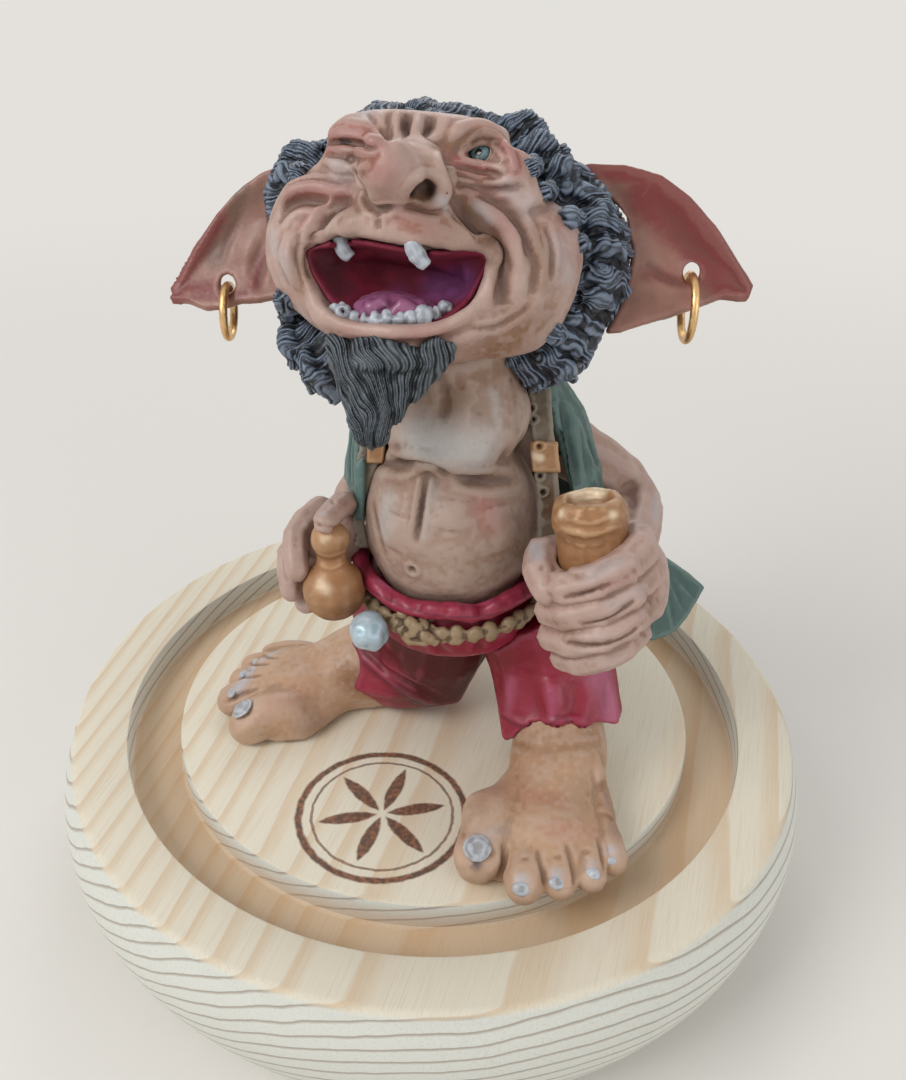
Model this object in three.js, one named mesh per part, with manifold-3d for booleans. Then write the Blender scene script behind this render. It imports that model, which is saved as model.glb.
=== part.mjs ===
import * as THREE from 'three';
import { mergeVertices } from 'three/addons/utils/BufferGeometryUtils.js';
import Module from 'manifold-3d';

const wasm = await Module();
wasm.setup();

// An imp sculpted in clay over wires, on a turned pine plinth. Millimetres, +Z up, the imp looks towards -Y.
// Left and right are the imp's own. Points on the imp are measured from the island's top, under its middle.

const point = (x, y, z) => new THREE.Vector3(x, y, z);
const degrees = THREE.MathUtils.degToRad;

// Fits
const gap = 0.3;
const slack = 0.08;

// Plinth
const plinthHeight = 46;
const plinthTopRadius = 100;
const plinthFootRadius = 89.7;
const plinthBelly = 15.5;
const rimRound = 2.5;
const grooveOuterRadius = 85;
const grooveDepth = 9;
const islandRadius = 71.3;
const islandDrop = 1;
const islandRound = 1.2;
const plinthSides = 48;

// Trunk
const seatCentre = point(4, -7, 45);
const seatRadii = point(23.5, 24, 14);
const bellyCentre = point(3.5, -9, 67);
const bellyRadii = point(21.5, 21.5, 25);
const chestCentre = point(3, -9.5, 95);
const chestRadii = point(17.5, 18.5, 10);
const neckFoot = point(3, -9, 101);
const neckTop = point(2, -8, 120);
const neckRadius = 14.5;
const shoulderRight = point(-10, 6, 86);
const shoulderLeft = point(26, 7, 83);
const shoulderRadius = 8.5;

// Trouser legs: the middle line of each sleeve from the seat to its hem
const legLeftPath = [point(24, -9, 42), point(30, -11, 28), point(34, -20, 12)];
const legLeftRadii = [16, 16.5, 16.5];
const legRightPath = [point(1, -3, 40), point(-1, -1, 25), point(-4, 1, 15), point(-19, 3, 13)];
const legRightRadii = [16, 16, 15.5, 12.5];
const hemWall = 2;
const hemRag = 1.5;
const hemFold = 0.8;
const hemScallops = 6;
const hemDepth = 8;

// Feet
const footLength = 57;
const ballHalfWidth = 18.5;
const heelRadius = 10.5;
const ankleRadius = 10;
const ankleHeight = 20;
const instepHeight = 19;
const footLeftPlace = point(31.5, -44, 0);
const footLeftTurn = degrees(0);
const footRightPlace = point(-33, 3, 0);
const footRightTurn = degrees(-88);
const toeRadii = [6.4, 4.9, 4.3, 4, 3.9];
const toeTips = [[-19.5, -17], [-9, -23.5], [-0.5, -22], [7, -20], [12.5, -15]];
const toeLengths = [9, 13, 13, 12, 11];
const nailThickness = 1.2;

// Arms and hands
const elbowLeft = point(50.5, 12, 63);
const wristLeft = point(46, -18, 60);
const elbowRight = point(-17, 12, 69);
const wristRight = point(-22, 1, 66);
const armRadiiLeft = [8.5, 7.5, 6.5];
const armRadiiRight = [7.5, 6, 5];
const fingerRadius = 4.2;
const fingerPitch = 6.4;
const fingerCount = 4;
const fingerTop = 15;
const fingerClimb = 0.3;
const thumbRadius = 4.2;

// Cup in the left fist
const cupRimCentre = point(33.2, -31, 86);
const cupLean = new THREE.Euler(degrees(-12), degrees(-8), 0);
const cupRadius = 7.6;
const cupDepth = 30;
const cupRecess = 3.2;
const cupWall = 2.2;
const cupBead = 0.6;

// Gourd bottle in the right hand
const gourdCentre = point(-24.5, -23, 54);
const gourdRadius = 7.7;
const gourdTopRadius = 4.5;
const gourdTopRise = 13.8;
const gourdNeckRadius = 3.4;
const slimFingerRadius = 3.1;

// Belt, frill and braces
const frillHeight = 56.5;
const frillDip = 2.5;
const frillRadius = 2.1;
const frillWave = 1;
const frillWaves = 9;
const beltDrop = 5.6;
const beltLinkCount = 26;
const beltLinkRadius = 2;
const beltWaist = 0.55;
const beltBallRadius = 4.5;
const beltBallAngle = degrees(-36);
const braceLeftPath = [point(22.5, -3, 102), point(24, -11, 90), point(26, -17, 76), point(26.5, -21.5, 60)];
const braceRightPath = [point(-14, -1, 100), point(-15.5, -5, 90), point(-17.5, -9, 78), point(-18.5, -13, 60)];
const braceWidth = 5;
const braceThickness = 1.4;
const buckleLength = 6.5;
const buckleThickness = 1;
const bucklePlace = 0.4;

// Head, in its own frame: x to its left, y to its back, z to its crown
const headCentre = point(-5, -2, 130);
const headTurn = new THREE.Euler(degrees(-28), degrees(3.6), degrees(-4.2), 'ZXY');
const skullRadii = point(24.5, 27, 24);
const cheekSpread = 20;
const cheekMiddle = 1.8;
const cheekRadii = point(13, 12, 15);
const midFaceRadii = point(17, 14, 14);
const noseBulb = point(-4.2, -34.5, 7.4);
const noseBulbRadii = point(6, 5.6, 5.8);
const noseWing = point(4.8, -31, 7);
const noseWingRadii = point(4.2, 4.6, 4.6);
const noseBridgeTop = point(0.5, -24, 17.5);
const noseBridgeRadius = 3.6;
const nostril = point(2.4, -36.5, 4.6);
const nostrilRadii = point(2.7, 3.6, 2.9);
const browRadius = 3;
const lipRadius = 2.8;
const lipDepth = 2.6;
const eyeSpread = 12.4;
const eyeHeight = 16;
const eyeDepth = 20;
const eyeRadius = 4.2;
const mouthMiddle = -0.7;
const mouthHalfWidth = 18.5;
const mouthHeight = 14.5;
const mouthTop = -5.5;
const mouthDepth = 19;
const liningThickness = 1.2;
const toothRadius = 1.7;
const toothLength = 4.4;
const toothLeftRoot = point(2.9, -28.4, -4);
const toothRightRoot = point(-11.4, -25.4, -4.4);
const lowerToothCount = 8;
const lowerToothRadius = 1.5;

// Ears and their rings
const earThickness = 2;
const earHoleRadius = 2.1;
const ringWireRadius = 1.1;
const ringRadiusLeft = 7.2;
const ringRadiusRight = 5.9;

// Hair and beard
const lockCount = 26;
const lockDepth = 0.9;
const beardLength = 17;

// Vest
const vestThickness = 2.2;
const vestFold = 1.3;

// Armature
const wireRadius = 1.1;

// Forms: a form gives a point's distance from the clay's surface, less than zero inside

function egg(centre, radii, turn = new THREE.Euler()) {
  const rotation = new THREE.Quaternion().setFromEuler(turn);
  const inward = new THREE.Matrix4().compose(centre, rotation, point(1, 1, 1)).invert();
  const local = point(0, 0, 0);
  return (place) => {
    local.copy(place).applyMatrix4(inward).divide(radii);
    const near = local.length();
    const steep = local.divide(radii).length();
    return steep > 0 ? (near * (near - 1)) / steep : -Math.min(radii.x, radii.y, radii.z);
  };
}

function ball(centre, radius) {
  return (place) => place.distanceTo(centre) - radius;
}

function limb(from, to, fromRadius, toRadius) {
  const along = to.clone().sub(from);
  const lengthSquared = along.lengthSq();
  const offset = point(0, 0, 0);
  return (place) => {
    offset.copy(place).sub(from);
    const share = THREE.MathUtils.clamp(offset.dot(along) / lengthSquared, 0, 1);
    return offset.addScaledVector(along, -share).length() - THREE.MathUtils.lerp(fromRadius, toRadius, share);
  };
}

function blend(softness, ...forms) {
  return (place) => forms.reduce((nearest, form) => {
    const other = form(place);
    const overlap = Math.max(softness - Math.abs(nearest - other), 0) / softness;
    return Math.min(nearest, other) - (overlap * overlap * softness) / 4;
  }, 1e3);
}

// How far the surface of a form lies from a point inside it, in one direction
function reach(form, from, direction, grow = 0, far = 90) {
  const step = 1.5;
  const place = point(0, 0, 0);
  const isInside = (distance) => form(place.copy(from).addScaledVector(direction, distance)) < grow;
  let inside = far;
  while (inside > 0 && !isInside(inside)) inside -= step;
  let outside = inside + step;
  for (let halving = 0; halving < 14; halving++) {
    const middle = (inside + outside) / 2;
    if (isInside(middle)) inside = middle;
    else outside = middle;
  }
  return Math.max(inside, 0.2);
}

// A value part of the way along a list of values
function between(values, share) {
  const spot = share * (values.length - 1);
  const low = Math.min(Math.floor(spot), values.length - 2);
  return THREE.MathUtils.lerp(values[low], values[low + 1], spot - low);
}

// Skins: closed geometries with shared vertices

function closed(positions, triangles) {
  const geometry = new THREE.BufferGeometry();
  geometry.setAttribute('position', new THREE.Float32BufferAttribute(positions, 3));
  geometry.setIndex(triangles);
  return welded(geometry);
}

function welded(geometry) {
  const bare = geometry.clone();
  bare.deleteAttribute('normal');
  bare.deleteAttribute('uv');
  const merged = mergeVertices(bare, 1e-4);
  const index = [];
  for (let start = 0; start < merged.index.count; start += 3) {
    const [a, b, c] = [0, 1, 2].map((corner) => merged.index.getX(start + corner));
    if (a !== b && b !== c && c !== a) index.push(a, b, c);
  }
  merged.setIndex(index);
  return signedVolume(merged) < 0 ? turnedOut(merged) : merged;
}

function signedVolume(geometry) {
  const { index, attributes: { position } } = geometry;
  const corners = [point(0, 0, 0), point(0, 0, 0), point(0, 0, 0)];
  let volume = 0;
  for (let start = 0; start < index.count; start += 3) {
    corners.forEach((corner, k) => corner.fromBufferAttribute(position, index.getX(start + k)));
    volume += corners[0].dot(corners[1].cross(corners[2])) / 6;
  }
  return volume;
}

function turnedOut(geometry) {
  const index = Array.from(geometry.index.array);
  for (let start = 0; start < index.length; start += 3) {
    [index[start + 1], index[start + 2]] = [index[start + 2], index[start + 1]];
  }
  geometry.setIndex(index);
  return geometry;
}

// Clay pulled over a form: a ball's vertices, each moved out from the centre to the form's surface
function wrap(form, centre, detail, { grow = 0, stretch = point(1, 1, 1) } = {}) {
  const skin = welded(new THREE.IcosahedronGeometry(1, detail));
  const { position } = skin.attributes;
  const direction = point(0, 0, 0);
  for (let k = 0; k < position.count; k++) {
    direction.fromBufferAttribute(position, k).multiply(stretch).normalize();
    const distance = reach(form, centre, direction, grow);
    direction.multiplyScalar(distance).add(centre);
    position.setXYZ(k, direction.x, direction.y, direction.z);
  }
  return skin;
}

// A skin through rings with the same number of points, closed by a fan at each end
function loft(rings) {
  const sides = rings[0].length;
  const middleOf = (ring) => ring.reduce((sum, corner) => sum.add(corner), point(0, 0, 0)).divideScalar(sides);
  const places = rings.flat();
  const triangles = [];
  for (let row = 0; row + 1 < rings.length; row++) {
    for (let side = 0; side < sides; side++) {
      const here = row * sides + side;
      const next = row * sides + ((side + 1) % sides);
      triangles.push(here, next, here + sides, next, next + sides, here + sides);
    }
  }
  const lastRow = (rings.length - 1) * sides;
  places.push(middleOf(rings[0]), middleOf(rings.at(-1)));
  for (let side = 0; side < sides; side++) {
    const next = (side + 1) % sides;
    triangles.push(next, side, places.length - 2, lastRow + side, lastRow + next, places.length - 1);
  }
  return closed(places.flatMap((place) => place.toArray()), triangles);
}

// A round-ended tube through points, with a radius at each, sides round it and steps along it
function tube(points, radii, sides = 10, steps = 10, grow = 0) {
  const curve = new THREE.CatmullRomCurve3(points);
  const frames = curve.computeFrenetFrames(steps);
  const radiusAt = (share) => between(radii, share) + grow;
  const ring = (row, ahead, size) => Array.from({ length: sides }, (_, side) => {
    const angle = (side / sides) * 2 * Math.PI;
    return curve.getPointAt(row / steps)
      .addScaledVector(frames.tangents[row], ahead)
      .addScaledVector(frames.normals[row], Math.cos(angle) * size)
      .addScaledVector(frames.binormals[row], Math.sin(angle) * size);
  });
  const capAngles = [65, 30].map(degrees);
  const rings = capAngles.map((angle) => (
    ring(0, -Math.sin(angle) * radiusAt(0), Math.cos(angle) * radiusAt(0))));
  for (let row = 0; row <= steps; row++) rings.push(ring(row, 0, radiusAt(row / steps)));
  capAngles.reverse().forEach((angle) => {
    rings.push(ring(steps, Math.sin(angle) * radiusAt(1), Math.cos(angle) * radiusAt(1)));
  });
  return loft(rings);
}

// A thin sheet over a surface of two shares, with half its thickness on each side
function sheet(surface, thickness, across, along) {
  const nudge = 1e-3;
  const face = (side) => (row, column) => {
    const [u, v] = [row / across, column / along];
    const alongU = surface(Math.min(u + nudge, 1), v).sub(surface(Math.max(u - nudge, 0), v));
    const alongV = surface(u, Math.min(v + nudge, 1)).sub(surface(u, Math.max(v - nudge, 0)));
    return surface(u, v).addScaledVector(alongU.cross(alongV).normalize(), (side * thickness) / 2);
  };
  const rows = across + 1;
  const columns = along + 1;
  const places = [1, -1].flatMap((side) => Array.from({ length: rows * columns }, (_, k) => (
    face(side)(Math.floor(k / columns), k % columns))));
  const triangles = [];
  const quad = (a, b, c, d) => triangles.push(a, b, c, a, c, d);
  const back = rows * columns;
  for (let row = 0; row < across; row++) {
    for (let column = 0; column < along; column++) {
      const here = row * columns + column;
      quad(here, here + columns, here + columns + 1, here + 1);
      quad(back + here, back + here + 1, back + here + columns + 1, back + here + columns);
    }
  }
  for (let row = 0; row < across; row++) {
    const low = row * columns;
    const high = low + along;
    quad(low, back + low, back + low + columns, low + columns);
    quad(high, high + columns, back + high + columns, back + high);
  }
  for (let column = 0; column < along; column++) {
    const far = across * columns + column;
    quad(column, column + 1, back + column + 1, back + column);
    quad(far, back + far, back + far + 1, far + 1);
  }
  return closed(places.flatMap((place) => place.toArray()), triangles);
}

// Joins and cuts

function solidOf(geometry) {
  const { index, attributes: { position } } = geometry;
  return new wasm.Manifold(new wasm.Mesh({
    numProp: 3,
    vertProperties: Float32Array.from(position.array),
    triVerts: Uint32Array.from(index.array),
  }));
}

function geometryOf(solid) {
  const mesh = solid.getMesh();
  return closed(Array.from(mesh.vertProperties), Array.from(mesh.triVerts));
}

const joined = (...geometries) => (
  geometryOf(geometries.map(solidOf).reduce((sum, solid) => sum.add(solid))));

const cutBy = (geometry, ...cutters) => (
  largestBody(geometryOf(cutters.map(solidOf).reduce((rest, cutter) => rest.subtract(cutter), solidOf(geometry)))));

const common = (geometry, other) => geometryOf(solidOf(geometry).intersect(solidOf(other)));

// Crumbs that a cut leaves are dropped, so a piece stays one body
function largestBody(geometry) {
  const { index, attributes: { position } } = geometry;
  const parent = Array.from({ length: position.count }, (_, k) => k);
  const rootOf = (k) => {
    let root = k;
    while (parent[root] !== root) root = parent[root];
    parent[k] = root;
    return root;
  };
  for (let start = 0; start < index.count; start += 3) {
    const first = rootOf(index.getX(start));
    parent[rootOf(index.getX(start + 1))] = first;
    parent[rootOf(index.getX(start + 2))] = first;
  }
  const bodies = new Map();
  for (let start = 0; start < index.count; start += 3) {
    const root = rootOf(index.getX(start));
    if (!bodies.has(root)) bodies.set(root, []);
    bodies.get(root).push(index.getX(start), index.getX(start + 1), index.getX(start + 2));
  }
  const largest = [...bodies.values()].sort((one, other) => other.length - one.length)[0];
  return closed(Array.from(position.array), largest);
}

// Corners that lie within a tolerance of the faces round a neighbour are slid onto that neighbour
function thinned(geometry, tolerance) {
  const { position } = geometry.attributes;
  const corners = Array.from({ length: position.count }, (_, k) => point(0, 0, 0).fromBufferAttribute(position, k));
  const faces = [];
  const facesRound = corners.map(() => new Set());
  for (let start = 0; start < geometry.index.count; start += 3) {
    const face = [0, 1, 2].map((corner) => geometry.index.getX(start + corner));
    face.forEach((corner) => facesRound[corner].add(faces.length));
    faces.push(face);
  }
  const neighbours = (corner) => new Set([...facesRound[corner]].flatMap((face) => faces[face]));
  const drift = corners.map(() => 0);
  const flat = new THREE.Plane();
  const turned = new THREE.Plane();

  const canSlide = (from, to) => {
    const beside = neighbours(to);
    const shared = [...neighbours(from)].filter((corner) => corner !== from && corner !== to && beside.has(corner));
    if (shared.length !== 2) return false;
    return [...facesRound[from]].every((face) => {
      flat.setFromCoplanarPoints(...faces[face].map((corner) => corners[corner]));
      if (drift[from] + Math.abs(flat.distanceToPoint(corners[to])) > tolerance) return false;
      if (faces[face].includes(to)) return true;
      const places = faces[face].map((corner) => corners[corner === from ? to : corner]);
      const longest = Math.max(...places.map((place, k) => place.distanceTo(places[(k + 1) % 3])));
      const area = new THREE.Triangle(...places).getArea();
      turned.setFromCoplanarPoints(...places);
      return area > 0.02 * longest * longest && turned.normal.dot(flat.normal) > 0.5;
    });
  };
  const slide = (from, to) => {
    [...facesRound[from]].forEach((face) => {
      flat.setFromCoplanarPoints(...faces[face].map((corner) => corners[corner]));
      drift[to] = Math.max(drift[to], drift[from] + Math.abs(flat.distanceToPoint(corners[to])));
      facesRound[from].delete(face);
      if (faces[face].includes(to)) {
        faces[face].forEach((corner) => facesRound[corner].delete(face));
        faces[face] = null;
      } else {
        faces[face] = faces[face].map((corner) => (corner === from ? to : corner));
        facesRound[to].add(face);
      }
    });
  };

  for (let pass = 0; pass < 3; pass++) {
    corners.forEach((place, from) => {
      const near = [...neighbours(from)].filter((corner) => corner !== from)
        .sort((one, other) => place.distanceTo(corners[one]) - place.distanceTo(corners[other]));
      const onto = near.find((to) => canSlide(from, to));
      if (onto !== undefined) slide(from, onto);
    });
  }
  return closed(corners.flatMap((place) => place.toArray()), faces.filter(Boolean).flat());
}

const moved = (geometry, matrix) => welded(geometry.clone().applyMatrix4(matrix));

// Materials

const material = (color, roughness, metalness = 0) => (
  new THREE.MeshStandardMaterial({ color, roughness, metalness }));
const skin = () => material('#b98f6e', 0.75);
const hairPaint = () => material('#3f464d', 0.8);
const crimson = () => material('#8a2038', 0.7);
const green = () => material('#2c4a42', 0.8);
const gold = () => material('#b8823f', 0.45, 0.5);
const ivory = () => material('#c9c2b0', 0.6);
const wireSteel = () => material('#8c8c90', 0.5, 0.9);

function piece(name, geometry, finish) {
  const mesh = new THREE.Mesh(thinned(geometry, slack), finish);
  mesh.name = name;
  return mesh;
}

// Armature: a spine, and two leg wires that end in holes in the plinth

const wirePaths = {
  spine: [point(6, -4, 32), point(4, -4, 66), point(2, -6, 92), neckTop.clone(), headCentre.clone()],
  leg_left: [point(33, -22, -12), point(33, -22, 12), point(29, -12, 28), point(18, -6, 38)],
  leg_right: [point(-8, 5, -12), point(-8, 5, 12), point(-3, 1, 24), point(-4, -3, 38)],
};

function wire(name, grow = 0) {
  const section = new THREE.Shape().absarc(0, 0, wireRadius + grow, 0, 2 * Math.PI);
  const path = new THREE.CatmullRomCurve3(wirePaths[name], false, 'centripetal');
  return welded(new THREE.ExtrudeGeometry(section, { steps: 6, extrudePath: path, curveSegments: 3 }));
}

// Plinth

const islandTop = plinthHeight - islandDrop;

function plinth() {
  const side = new THREE.QuadraticBezierCurve(
    new THREE.Vector2(plinthFootRadius, 0),
    new THREE.Vector2((plinthFootRadius + plinthTopRadius) / 2 + plinthBelly, plinthHeight / 2),
    new THREE.Vector2(plinthTopRadius, plinthHeight - rimRound),
  );
  const rim = [0, 30, 60, 90].map(degrees).map((angle) => new THREE.Vector2(
    plinthTopRadius - rimRound + rimRound * Math.cos(angle),
    plinthHeight - rimRound + rimRound * Math.sin(angle)));
  const profile = [
    new THREE.Vector2(0, 0),
    ...side.getPoints(5).slice(0, -1),
    ...rim,
    new THREE.Vector2(grooveOuterRadius, plinthHeight),
    new THREE.Vector2(grooveOuterRadius, plinthHeight - grooveDepth),
    new THREE.Vector2(islandRadius, plinthHeight - grooveDepth),
    new THREE.Vector2(islandRadius, islandTop - islandRound),
    new THREE.Vector2(islandRadius - islandRound * 0.3, islandTop - islandRound * 0.3),
    new THREE.Vector2(islandRadius - islandRound, islandTop),
    new THREE.Vector2(0, islandTop),
  ];
  const turned = welded(new THREE.LatheGeometry(profile, plinthSides).rotateX(Math.PI / 2));
  const onIsland = new THREE.Matrix4().makeTranslation(0, 0, islandTop + gap);
  return cutBy(turned, moved(wire('leg_left', gap), onIsland), moved(wire('leg_right', gap), onIsland));
}

// Trunk

const chestForm = blend(8, egg(chestCentre, chestRadii),
  limb(neckFoot, neckTop, neckRadius, neckRadius),
  limb(shoulderRight, shoulderLeft, shoulderRadius, shoulderRadius));
const torsoForm = blend(2, egg(bellyCentre, bellyRadii), chestForm);
const trunkAxis = point(bellyCentre.x, bellyCentre.y + 4, 0);
const torsoMiddle = trunkAxis.clone().setZ(82);
const torso = (grow = 0) => wrap(torsoForm, torsoMiddle, 6, { grow, stretch: point(1, 1, 1.5) });

const seatForm = egg(seatCentre, seatRadii);
const seat = (grow = 0) => wrap(seatForm, seatCentre, 3, { grow });

// How far the skin stands off the trunk's upright axis, at a height and an angle from the front
const outward = (angle) => point(Math.sin(angle), -Math.cos(angle), 0);
const standOff = (form, height, angle) => (
  reach(form, trunkAxis.clone().setZ(height), outward(angle), 0, 60));
const besideTrunk = (angle, distance, height) => (
  trunkAxis.clone().setZ(height).addScaledVector(outward(angle), distance));

// Trouser legs: a tapered sleeve whose ragged hem is hollow round the ankle

function trouserLeg(path, radii, turn, grow = 0) {
  const sides = 18;
  const steps = 5;
  const curve = new THREE.CatmullRomCurve3(path);
  const frames = curve.computeFrenetFrames(steps);
  const ring = (row, inset, rag) => Array.from({ length: sides }, (_, side) => {
    const angle = (side / sides) * 2 * Math.PI;
    const share = row / steps;
    const scallop = Math.cos(hemScallops * angle + turn);
    const size = between(radii, share) + hemFold * scallop * share - inset + grow;
    return curve.getPointAt(share)
      .addScaledVector(frames.tangents[row], rag * scallop + grow * Math.sign(rag))
      .addScaledVector(frames.normals[row], Math.cos(angle) * size)
      .addScaledVector(frames.binormals[row], Math.sin(angle) * size);
  });
  const outside = Array.from({ length: steps }, (_, row) => ring(row, 0, 0));
  const recessRow = Math.round(steps * (1 - hemDepth / curve.getLength()));
  const inset = hemWall + 2 * grow;
  return loft([...outside, ring(steps, 0, hemRag), ring(steps, inset, hemRag), ring(recessRow, inset, 0)]);
}
const trouserLegLeft = (grow) => trouserLeg(legLeftPath, legLeftRadii, 0.5, grow);
const trouserLegRight = (grow) => trouserLeg(legRightPath, legRightRadii, 2, grow);

// Feet, pointing to -Y with the big toe on the -X side, the sole's middle at the origin

function footShape(grow = 0) {
  const heel = point(2, footLength / 2 - heelRadius, heelRadius * 0.6);
  const ankle = point(2, heel.y + 8, ankleHeight);
  const instep = point(1, heel.y - 6, instepHeight - 10);
  const ballOfFoot = point(-5, -8, 2);
  const sole = blend(7,
    egg(ballOfFoot, point(ballHalfWidth, 15, 9.5)),
    limb(point(-4, -8, 3), instep, 9, 10),
    egg(heel, point(heelRadius, heelRadius, heelRadius * 0.9)),
    limb(instep, ankle, 10, ankleRadius));
  const body = wrap(sole, point(-1, 3, 5), 4, { grow, stretch: point(1, 1.3, 0.9) });
  const toes = toeTips.map(([x, y], toe) => {
    const radius = toeRadii[toe];
    const tip = point(x, y, radius * 0.75);
    const root = point(x * 0.85 - 0.5, y + toeLengths[toe], radius + 1.5);
    const knuckle = root.clone().lerp(tip, 0.55).add(point(0, 0, 0.8));
    return tube([root, knuckle, tip], [radius * 0.85, radius * 0.95, radius], 6, 3, grow);
  });
  return joined(body, ...toes);
}

function aboveIsland(geometry, grow = 0) {
  const room = 200;
  const block = new THREE.BoxGeometry(room, room, room).translate(0, 0, room / 2 - grow);
  return common(geometry, welded(block));
}

const leftFootFrame = new THREE.Matrix4().compose(
  footLeftPlace, new THREE.Quaternion().setFromEuler(new THREE.Euler(0, 0, footLeftTurn)), point(1, 1, 1));
const rightFootFrame = new THREE.Matrix4().compose(
  footRightPlace, new THREE.Quaternion().setFromEuler(new THREE.Euler(0, 0, footRightTurn)), point(-1, 1, 1));
const foot = (frame, grow = 0) => moved(aboveIsland(footShape(grow), grow), frame);

function bigToeNail(grow = 0) {
  const [x, y] = toeTips[0];
  const middle = point(x - 0.5, y - 2, toeRadii[0] * 1.6);
  const form = egg(middle, point(3.4, 3.2, nailThickness), new THREE.Euler(degrees(30), 0, 0));
  return wrap(form, middle, 1, { grow });
}

// Cup and gourd

const cupFrame = new THREE.Matrix4().compose(
  cupRimCentre, new THREE.Quaternion().setFromEuler(cupLean), point(1, 1, 1));

function turnedBody(profile, sides) {
  const corners = profile.map(([radius, height]) => new THREE.Vector2(radius, height));
  return welded(new THREE.LatheGeometry(corners, sides).rotateX(Math.PI / 2));
}

function cup(grow = 0) {
  const outer = cupRadius + grow;
  return turnedBody([
    [0, -cupDepth - grow], [outer * 0.82, -cupDepth - grow], [outer, -cupDepth + 3],
    [outer, -7], [outer + cupBead, -5.5], [outer + cupBead, -3], [outer, -1.6], [outer - 0.8, grow],
    [outer - cupWall, grow], [outer - cupWall - 0.6, grow - cupRecess], [0, grow - cupRecess],
  ], 16);
}

const gourdFrame = new THREE.Matrix4().compose(
  gourdCentre, new THREE.Quaternion().setFromEuler(new THREE.Euler(degrees(-4), degrees(-2), 0)), point(1, 1, 1));

function gourd(grow = 0) {
  const arc = (centre, radius, from, to, count) => Array.from({ length: count + 1 }, (_, k) => {
    const angle = THREE.MathUtils.lerp(from, to, k / count);
    return [Math.max(radius * Math.cos(angle), 0), centre + radius * Math.sin(angle)];
  });
  const lower = arc(0, gourdRadius + grow, degrees(-90), degrees(60), 5);
  const upper = arc(gourdTopRise, gourdTopRadius + grow, degrees(-45), degrees(90), 4);
  return turnedBody([...lower, [gourdNeckRadius + grow, gourdTopRise * 0.62], ...upper], 12);
}

// Arms and hands

const armLeft = (grow) => tube([shoulderLeft, elbowLeft, wristLeft], armRadiiLeft, 8, 7, grow);
const armRight = (grow) => tube([shoulderRight, elbowRight, wristRight], armRadiiRight, 7, 6, grow);

// The left fist holds the cup: fingers are arcs about the cup's own axis
function handLeft(grow = 0) {
  const curl = cupRadius + fingerRadius * 0.75;
  const around = (angle, height, radius) => point(
    Math.sin(angle) * radius, -Math.cos(angle) * radius, height + fingerClimb * Math.sin(angle) * radius);
  const fingers = Array.from({ length: fingerCount }, (_, finger) => {
    const height = -fingerTop - fingerPitch * finger;
    const isLast = finger === fingerCount - 1;
    const radius = isLast ? fingerRadius * 0.85 : fingerRadius;
    const bend = [-75, -30, 20, 65, 105].map((angle) => (
      around(degrees(angle), height, isLast ? curl - 2 : curl)));
    return tube(bend, [radius * 0.9, radius, radius, radius * 1.05, radius], 7, 5, grow);
  });
  const thumbPath = [point(-curl, -5.5, -18), point(-curl - 1.5, 1, -13.5), point(-curl + 3, 8, -15), point(0, 11, -22)];
  const thumb = tube(thumbPath, [0.9, 1, 1, 1.3].map((share) => thumbRadius * share), 7, 5, grow);
  const middle = -fingerTop - fingerPitch * 1.3;
  const backMiddle = point(9.5, 3, middle + 2);
  const palmMiddle = point(2, 8, middle);
  const back = wrap(egg(backMiddle, point(7.5, 11, 12.5)), backMiddle, 1, { grow });
  const palm = wrap(egg(palmMiddle, point(11, 7.5, 11)), palmMiddle, 1, { grow });
  return moved(joined(back, palm, thumb, ...fingers), cupFrame);
}

function handRight(grow = 0) {
  const palmCentre = point(-26, -8.5, 61);
  const palm = wrap(egg(palmCentre, point(8, 7, 9.5)), palmCentre, 1, { grow });
  const slim = slimFingerRadius;
  const fingers = [
    [point(-29, -9, 68), point(-34, -15, 65.5), point(-33.2, -22.5, 59)],
    [point(-30, -8, 62), point(-36.5, -13, 58), point(-35.5, -19, 50.5)],
    [point(-28, -8, 56), point(-34, -12, 52), point(-32.5, -17, 45.5)],
    [point(-22, -6, 67), point(-22.5, -13, 72.5), point(-26, -23.5, 73.5)],
  ].map((bend) => tube(bend, [slim * 1.1, slim, slim * 0.95], 6, 4, grow));
  return joined(palm, ...fingers);
}

// Frill, belt and braces

// A closed hoop round the trunk: spot gives its distance out, its height and its half size at an angle
function hoop(rings, sides, spot, grow = 0) {
  const places = [];
  const triangles = [];
  for (let step = 0; step < rings; step++) {
    const angle = (step / rings) * 2 * Math.PI;
    const { out, height, size } = spot(angle, step);
    const next = (step + 1) % rings;
    for (let side = 0; side < sides; side++) {
      const around = (side / sides) * 2 * Math.PI;
      const distance = out + Math.cos(around) * (size + grow);
      places.push(...besideTrunk(angle, distance, height + Math.sin(around) * (size + grow)).toArray());
      const beside = (side + 1) % sides;
      triangles.push(step * sides + side, step * sides + beside, next * sides + side);
      triangles.push(step * sides + beside, next * sides + beside, next * sides + side);
    }
  }
  return closed(places, triangles);
}

const frillLine = (angle) => frillHeight - frillDip * Math.cos(angle);
const frill = (grow) => hoop(frillWaves * 4, 6, (angle) => {
  const wave = Math.cos(frillWaves * angle + 0.6);
  return {
    out: standOff(torsoForm, frillLine(angle) + frillRadius, angle) + frillRadius + gap + (wave + 1) * frillWave * 0.5,
    height: frillLine(angle) + wave * frillWave,
    size: frillRadius,
  };
}, grow);

const beltOut = (angle, half) => standOff(seatForm, frillLine(angle) - beltDrop, angle) + gap + half;
const belt = (grow) => hoop(beltLinkCount * 2, 5, (angle, step) => ({
  out: beltOut(angle, beltLinkRadius),
  height: frillLine(angle) - beltDrop,
  size: step % 2 ? beltLinkRadius * beltWaist : beltLinkRadius,
}), grow);

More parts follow.
